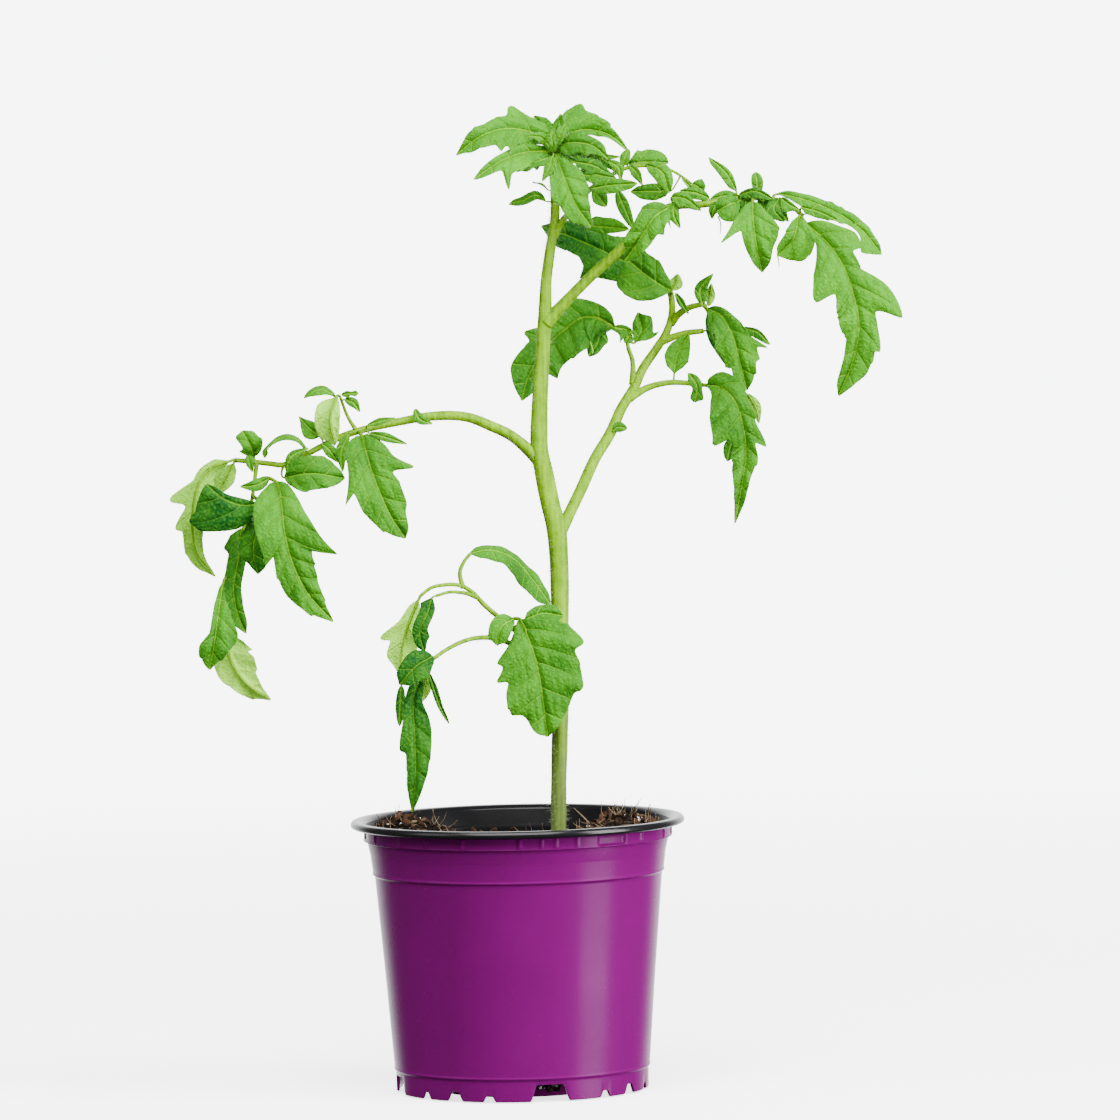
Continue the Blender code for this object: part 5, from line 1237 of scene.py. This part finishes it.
leaflet("top_leaflet_03", TO_FRONT, 0.66, [(18.5, -6, 334.5), (21.5, -10.5, 326), (25, -14, 317.5),
    (30.5, -15, 309)], [(10, 3), (30, 5.2), (50, 6.8), (62, 5.4), (75, 5.4), (90, 2.8)], [(10, 3),
    (30, 6.4), (50, 6.8), (72, 4.8), (88, 2.6)])
leaflet("top_leaflet_04", (0, -1, 0.35), 0.66, [(18.5, 2, 339.5), (24, 2.5, 342.5), (31, 1.5, 343.5),
    (38, -1.5, 341.5), (44.5, -4, 335.5)], [(10, 1.5), (35, 2.2), (55, 2.4), (75, 1.4), (90, 0.8)],
    [(5, 4.6), (14, 7.6), (24, 7.8), (33, 9.8), (39, 7), (46, 6.4), (52, 4.6), (60, 3.6), (70, 2.2),
    (86, 1.2)])
leaflet("top_leaflet_05", TO_FRONT, 0.5, [(18.5, -3, 338), (25, -6.5, 339), (32, -9, 337.5),
    (37, -10, 333)], [(10, 3.4), (30, 5), (45, 4), (60, 4.6), (72, 3), (88, 1.6)], [(10, 2.4), (35, 3.6),
    (60, 3), (80, 2.4), (92, 1.2)])
leaflet("top_leaflet_06", TO_FRONT, 0.66, [(17.5, -10, 334.5), (16, -10.5, 330), (13.5, -10, 325.5)],
    [(12, 1.6), (45, 2), (80, 1)], [(12, 1.4), (45, 2), (80, 1)])
leaflet("top_leaflet_07", (0, -1, 0.6), 0.38, [(14.5, -3, 318.3), (11.5, -3.5, 320.3), (6, -4, 318.3),
    (1.5, -5, 317.3)], [(12, 1.2), (35, 2), (80, 1.6)], [(12, 1.2), (35, 2), (80, 1.6)])
leaflet("top_leaflet_08", TO_FRONT, 0.66, [(15.5, -2.5, 322), (13.5, -3, 324), (10, -3, 325)], oval(0.5))
leaflet("young_leaflet_01", TO_FRONT, 0.62, [(24, -2, 335), (30, -4, 333.5), (40.5, -5.5, 331.5)],
    oval(1.1))
leaflet("young_leaflet_02", TO_FRONT, 0.62, [(27, -6, 329.5), (32, -11.5, 327.5), (39.5, -14, 326)],
    [(15, 2.2), (50, 3.4), (85, 2)], [(15, 1.6), (50, 2.4), (85, 1.4)])
leaflet("young_leaflet_03", TO_FRONT, 0.62, [(30.5, -13, 322.5), (38, -17.5, 323.5), (47, -19.5, 324)],
    [(12, 2.2), (45, 3), (85, 2)], [(12, 1.6), (45, 2.4), (85, 1.4)])
leaflet("young_leaflet_04", TO_FRONT, 0.4, [(31, -12, 322), (33.5, -12.5, 319.5), (36, -12.5, 316)],
    [(12, 1.9), (45, 2.9), (85, 1.7)], [(12, 1.9), (45, 2.9), (85, 1.7)])
leaflet("young_leaflet_05", TO_FRONT, 0.4, [(40, -11, 322), (42, -12.5, 316.5), (45.5, -12, 308)],
    [(12, 1.5), (40, 2.4), (85, 1.4)], [(12, 1.3), (40, 2.2), (85, 1.2)])
leaflet("young_leaflet_06", TO_FRONT, 0.5, [(44.5, -10, 330.5), (47, -11, 328), (49, -11, 323.5)],
    [(12, 1.4), (40, 2.2), (85, 1)], [(12, 1), (45, 1.4), (85, 0.6)])
leaflet("young_leaflet_07", TO_FRONT, 0.55, [(51, -12, 331), (53.5, -14, 329), (54.5, -14, 324.5)],
    [(15, 1.6), (50, 2.2), (85, 1)], [(15, 1.6), (50, 2.2), (85, 1)])
leaflet("young_leaflet_08", TO_FRONT, 0.62, [(44, -5, 331), (51, -6.5, 331.5), (58.5, -5.5, 331)],
    [(10, 1), (50, 1.3), (85, 0.9)], [(5, 3.1), (20, 4.5), (35, 4.1), (50, 4.7), (72, 4.3), (86, 3.3),
    (95, 2.1)])
leaflet("young_leaflet_09", TO_FRONT, 0.62, [(42.5, -7.5, 330), (43, -8.5, 333), (44.5, -8, 336)],
    [(15, 1.6), (50, 1.9), (85, 1.2)])
leaflet("young_leaflet_10", TO_FRONT, 0.62, [(50.5, -12.5, 330.5), (56, -15.5, 328),
    (58.5, -14.5, 320.5)], [(12, 2.4), (35, 3.6), (60, 3.6), (85, 2)], [(12, 1.6), (40, 3), (70, 2.6),
    (90, 1.4)])
leaflet("young_leaflet_11", TO_FRONT, 0.62, [(27, 6, 309.5), (34, 7.5, 308.5), (44, 7.5, 307.5)],
    [(12, 1.4), (50, 2.4), (90, 1.2)], [(12, 1.6), (30, 3.6), (60, 3.6), (85, 2.2), (95, 1)])
leaflet("young_leaflet_12", TO_FRONT, 0.62, [(66.5, -5, 323.5), (68.5, -6.5, 322.5), (71, -5.5, 320.5)],
    [(12, 2.2), (45, 3.3), (85, 2)], [(12, 2.2), (45, 3.3), (85, 2)])
leaflet("young_leaflet_13", TO_FRONT, 0.62, [(63.5, -10, 325), (66, -11, 321.5), (63.5, -11, 320.5)],
    oval(0.8))
leaflet("top_leaflet_09", TO_FRONT, 0.66, [(17, 3, 339), (14, 5, 343.5), (11, 4, 348.5)], [(10, 2.4),
    (40, 4.2), (75, 3.4), (90, 1.8)], [(10, 1.6), (40, 2.6), (80, 1.6)])
leaflet("top_leaflet_10", TO_FRONT, 0.45, [(18, 2, 340), (19.5, 3, 344.5), (20.5, 2, 349)], [(12, 2),
    (50, 2.8), (85, 1.4)], [(12, 1.8), (50, 2.4), (85, 1.2)], fold=20)
leaflet("top_leaflet_11", TO_FRONT, 0.66, [(17, -4, 337), (13, -6.5, 341), (9, -8, 341.5)], [(15, 1.4),
    (50, 2), (85, 1)])
leaflet("top_leaflet_12", TO_FRONT, 0.6, [(17.5, -4, 337), (20.5, -6, 342), (22, -5, 345.5)], [(15, 1.3),
    (50, 1.9), (85, 1)], fold=20)
leaflet("top_leaflet_13", (0, -1, 0.5), 0.5, [(17, -4, 334), (11, -7.5, 332), (4.5, -9, 329)], [(10, 1.4),
    (40, 2.2), (60, 1.5), (85, 1)], [(10, 1.6), (35, 2.6), (55, 1.6), (75, 2), (90, 0.8)])
leaflet("top_leaflet_14", TO_FRONT, 0.5, [(18, -3, 335), (24, -6, 334.5), (31, -8, 330.5)], [(10, 1.8),
    (45, 3), (80, 1.6)], [(10, 1.8), (45, 2.6), (80, 1.4)])
leaflet("top_leaflet_15", TO_FRONT, 0.66, [(17, -5, 335.5), (17.5, -7, 338.5), (17, -6.5, 342)],
    [(20, 1.1), (50, 1.4), (85, 0.7)], fold=25)
leaflet("young_leaflet_14", TO_FRONT, 0.42, [(20, -5, 336), (28, -7.5, 334.5), (35, -8, 333),
    (41, -7.5, 327.5)], [(10, 1.4), (35, 2.6), (50, 1.6), (70, 2.4), (90, 1)], [(10, 1.2), (35, 1.8),
    (60, 1.3), (85, 0.8)])
leaflet("young_leaflet_15", TO_FRONT, 0.45, [(25, -8, 332), (32, -10, 330.5), (39.5, -10, 326)],
    [(10, 1.8), (40, 2.8), (60, 2), (80, 2), (92, 0.8)], [(10, 1.5), (40, 2.2), (70, 1.4), (90, 0.7)])
leaflet("young_leaflet_16", TO_FRONT, 0.4, [(27.5, -10, 327.5), (33, -12, 326.5), (39, -12, 324)],
    [(12, 1.4), (50, 2), (85, 1)])
leaflet("young_leaflet_17", TO_FRONT, 0.6, [(37, -9.5, 332), (40.5, -11, 330), (41.5, -11, 325)],
    [(12, 1.2), (50, 1.7), (85, 0.8)])
leaflet("young_leaflet_18", TO_FRONT, 0.45, [(30, -6, 334), (36, -7, 333.5), (41, -6, 333.5)], [(15, 1),
    (50, 1.4), (85, 0.7)], [(15, 0.8), (50, 1.2), (85, 0.6)])
leaflet("upper_leaflet_15", TO_FRONT, 0.6, [(73, -12, 317.5), (79, -12, 319), (83.5, -12, 318.5)],
    [(15, 1.4), (50, 2), (85, 1.2)])
leaflet("right_leaflet_19", TO_FRONT, 0.15, [(72, 20, 276.5), (73.5, 20, 269), (79.5, 18, 256.5)],
    [(12, 1.4), (40, 2), (70, 1.5), (90, 1)], [(12, 1.6), (40, 2.6), (80, 2)])
leaflet("upper_leaflet_16", TO_FRONT, 0.35, [(83, -16, 319), (88.5, -18, 320.5), (95, -18, 317.5)],
    [(12, 1.8), (40, 3), (60, 2.4), (85, 1.6)], [(15, 1), (50, 1.2), (85, 1)])
leaflet("upper_leaflet_17", TO_FRONT, 0.3, [(97.5, -18, 318), (95.5, -21, 314), (99, -20, 309.5)],
    [(15, 1.6), (50, 2.8), (85, 1.4)], [(15, 1.6), (45, 2.2), (85, 1.2)])
leaflet("upper_leaflet_18", TO_FRONT, 0.4, [(80.5, -18, 318.5), (81.5, -21, 313.5), (85.5, -21, 309)],
    [(15, 2), (45, 3), (85, 1.6)], [(15, 1.6), (50, 2.2), (85, 1.2)])
leaflet("right_leaflet_20", TO_FRONT, 0.4, [(84, 17, 271), (89.5, 16, 269.5), (94, 15, 265)], [(12, 2),
    (50, 2.4), (85, 1.4)], [(12, 0.8), (50, 1), (85, 0.6)])
leaflet("upper_leaflet_19", TO_FRONT, 0.35, [(85.5, -15, 319), (85.5, -16.5, 316), (84.5, -17, 312.5)],
    oval(2.8))
leaflet("upper_leaflet_20", TO_FRONT, 0.42, [(92, -15, 318.5), (92, -16.5, 315.5), (92.5, -17, 312.5)],
    oval(3))
leaflet("upper_leaflet_21", TO_FRONT, 0.5, [(98, -19, 318), (101, -20, 315.5), (104.5, -20, 313.5)],
    [(12, 2), (40, 3.6), (75, 1.6), (90, 0.8)], [(15, 1), (50, 1.2), (85, 0.6)])
leaflet("upper_leaflet_22", TO_FRONT, 0.5, [(105, -20, 314.5), (110.5, -22, 313), (118, -22, 309.5)],
    [(12, 1.6), (45, 2.4), (85, 1)], [(12, 1.6), (40, 2.2), (85, 1)])
leaflet("upper_leaflet_23", TO_FRONT, 0.5, [(73, -13, 318), (68.5, -14, 320), (62.5, -14, 321)],
    [(15, 1.4), (40, 2.2), (85, 1.2)], [(15, 1.6), (50, 2.4), (85, 1.4)])
leaflet("top_leaflet_16", TO_FRONT, 0.7, [(17.5, -1.5, 333), (17.5, -2, 338), (17.5, -1.5, 343)],
    oval(2.8))
leaflet("right_leaflet_21", TO_FRONT, 0.36, [(33.5, 16.5, 272.5), (32.5, 16, 267), (29, 15, 262)],
    [(12, 2.6), (40, 3), (50, 2), (70, 3.2), (88, 2)], [(12, 2), (40, 3.4), (52, 2.4), (70, 2.2),
    (88, 1.6)])

# the leaflets' stalks take paleness with a painted highlight in front and painted shade at the left, as
# the rods do
for leaf, ribs in leaf_ribs.items():
    rib_points, rib_faces = stack_grids([grid for grid, _ in ribs])
    stalk_tone_and_painted_light = np.concatenate([rod_tone_and_painted_light(outward, 0.35).ravel() for _, outward in ribs])
    add_piece(leaf + "_leaflet_stalks", rib_points, rib_faces, stem_skin,
              {"pale": stalk_tone_and_painted_light})

# ------------------------------------------------------------------------------------------ down
# Fine white hairs that cover the stem and the stalks, longest on the young growth.

down_faces, _ = many(np.concatenate(downy), {})
add_piece("down_on_stem_and_stalks", np.concatenate(downy), down_faces, hair_white)
for leaf, tufts in leaf_hairs.items():
    tuft_faces, _ = many(np.concatenate(tufts), {})
    add_piece(leaf + "_leaflet_hairs", np.concatenate(tufts), tuft_faces, hair_white)

# -------------------------------------------------------------------------- floor, light, camera
# A plain pale floor that fades into a plain pale surround, soft lamps, and the viewing angle.


def make_floor():
    """A large disc whose edge fades out, so that the floor meets the surround without a line.

    Only camera rays and diffuse rays meet it. It glows for the camera, and it is dark to diffuse
    rays, so that it throws little light back up.
    """
    rings = turned(np.array([(0.5, 0), (300, 0), (1500, 0), (6000, 0)], float), 96)
    mesh = bpy.data.meshes.new("floor")
    mesh.from_pydata((rings.reshape(-1, 3) * MM).tolist(), [],
                     grid_faces(4, 96)[:, ::-1].tolist() + [list(range(96))])
    material, tree, shader = new_material("floor", 0.9, Specular_IOR_Level=0.0,
                                          Emission_Color=(1, 1, 1, 1))
    reach = new_node(tree, "VectorMath", set_operation="LENGTH", _0=object_place(tree))
    path = new_node(tree, "LightPath")
    seen = path.outputs["Is Camera Ray"]
    solid = math_node(tree, "MAXIMUM", seen, path.outputs["Is Diffuse Ray"])
    feed(tree, shader, Alpha=times(tree, ramp(tree, reach.outputs["Value"], 1.6, 0.25), solid),
         Base_Color=blend(tree, seen, (0.14, 0.14, 0.14, 1), (0.9, 0.905, 0.915, 1)),
         Emission_Strength=times(tree, seen, 2.4))
    mesh.materials.append(material)
    floor = bpy.data.objects.new("floor", mesh)
    floor.location.z = -0.4 * MM    # just under the pot, so that their faces never coincide
    bpy.context.scene.collection.objects.link(floor)


def lamp(name, place, size, power, target=(0, 0, 0.19)):
    """A soft white panel of light that faces the target."""
    light = bpy.data.lights.new(name, "AREA")
    light.shape = "RECTANGLE"
    light.size, light.size_y = size
    light.energy = power
    holder = bpy.data.objects.new(name, light)
    bpy.context.scene.collection.objects.link(holder)
    holder.location = place
    holder.rotation_euler = (Vector(place) - Vector(target)).to_track_quat("Z", "Y").to_euler()


def make_surround():
    """A pale surround, which lights the plant from behind and leaves the front to the lamps.

    Its strength rises with Y. Mirror rays find it dim except far behind, which gives the pot bright
    edges, and the camera sees it evenly bright.
    """
    world = bpy.data.worlds.new("surround")
    world.use_nodes = True
    tree = world.node_tree
    back = new_node(tree, "SeparateXYZ", Vector=new_node(tree, "TexCoord").outputs["Generated"])
    path = new_node(tree, "LightPath")
    lit = ramp(tree, back.outputs["Y"], -0.2, 0.8, 0.3, 1.8)
    mirrored = ramp(tree, back.outputs["Y"], 0.6, 0.95, 0.15, 3.5)
    level = new_node(tree, "Mix", _0=path.outputs["Is Glossy Ray"], _2=lit, _3=mirrored)
    level = new_node(tree, "Mix", _0=path.outputs["Is Camera Ray"], _2=level.outputs[0], _3=7.6)
    background = tree.nodes["Background"]
    background.inputs["Color"].default_value = (0.97, 0.98, 1, 1)
    feed(tree, background, Strength=level.outputs[0])
    bpy.context.scene.world = world


def make_camera():
    """A long lens three metres away, a little above the plant's top, tilted a degree sideways."""
    eye, aim = Vector((0.0171, -3.0, 0.3548)), Vector((0.0171, 0, 0.1896))
    data = bpy.data.cameras.new("camera")
    data.lens, data.sensor_width = 269.6, 36    # in mm of film
    data.clip_start, data.clip_end = 0.05, 50
    camera = bpy.data.objects.new("camera", data)
    bpy.context.scene.collection.objects.link(camera)
    level = (aim - eye).to_track_quat("-Z", "Y").to_matrix()
    tilted = level @ Matrix.Rotation(math.radians(-1.13), 3, "Z")
    camera.matrix_world = Matrix.Translation(eye) @ tilted.to_4x4()
    bpy.context.scene.camera = camera


make_floor()
lamp("right_softbox", (2.25, -1.0, 0.5), (1.2, 3.0), 310, target=(0, 0, 0.3))
lamp("left_softbox", (-2.0, -1.0, 1.0), (1.2, 1.6), 25)
lamp("front_softbox", (-0.1, -1.6, 2.1), (2.6, 2.2), 285)
make_surround()
make_camera()
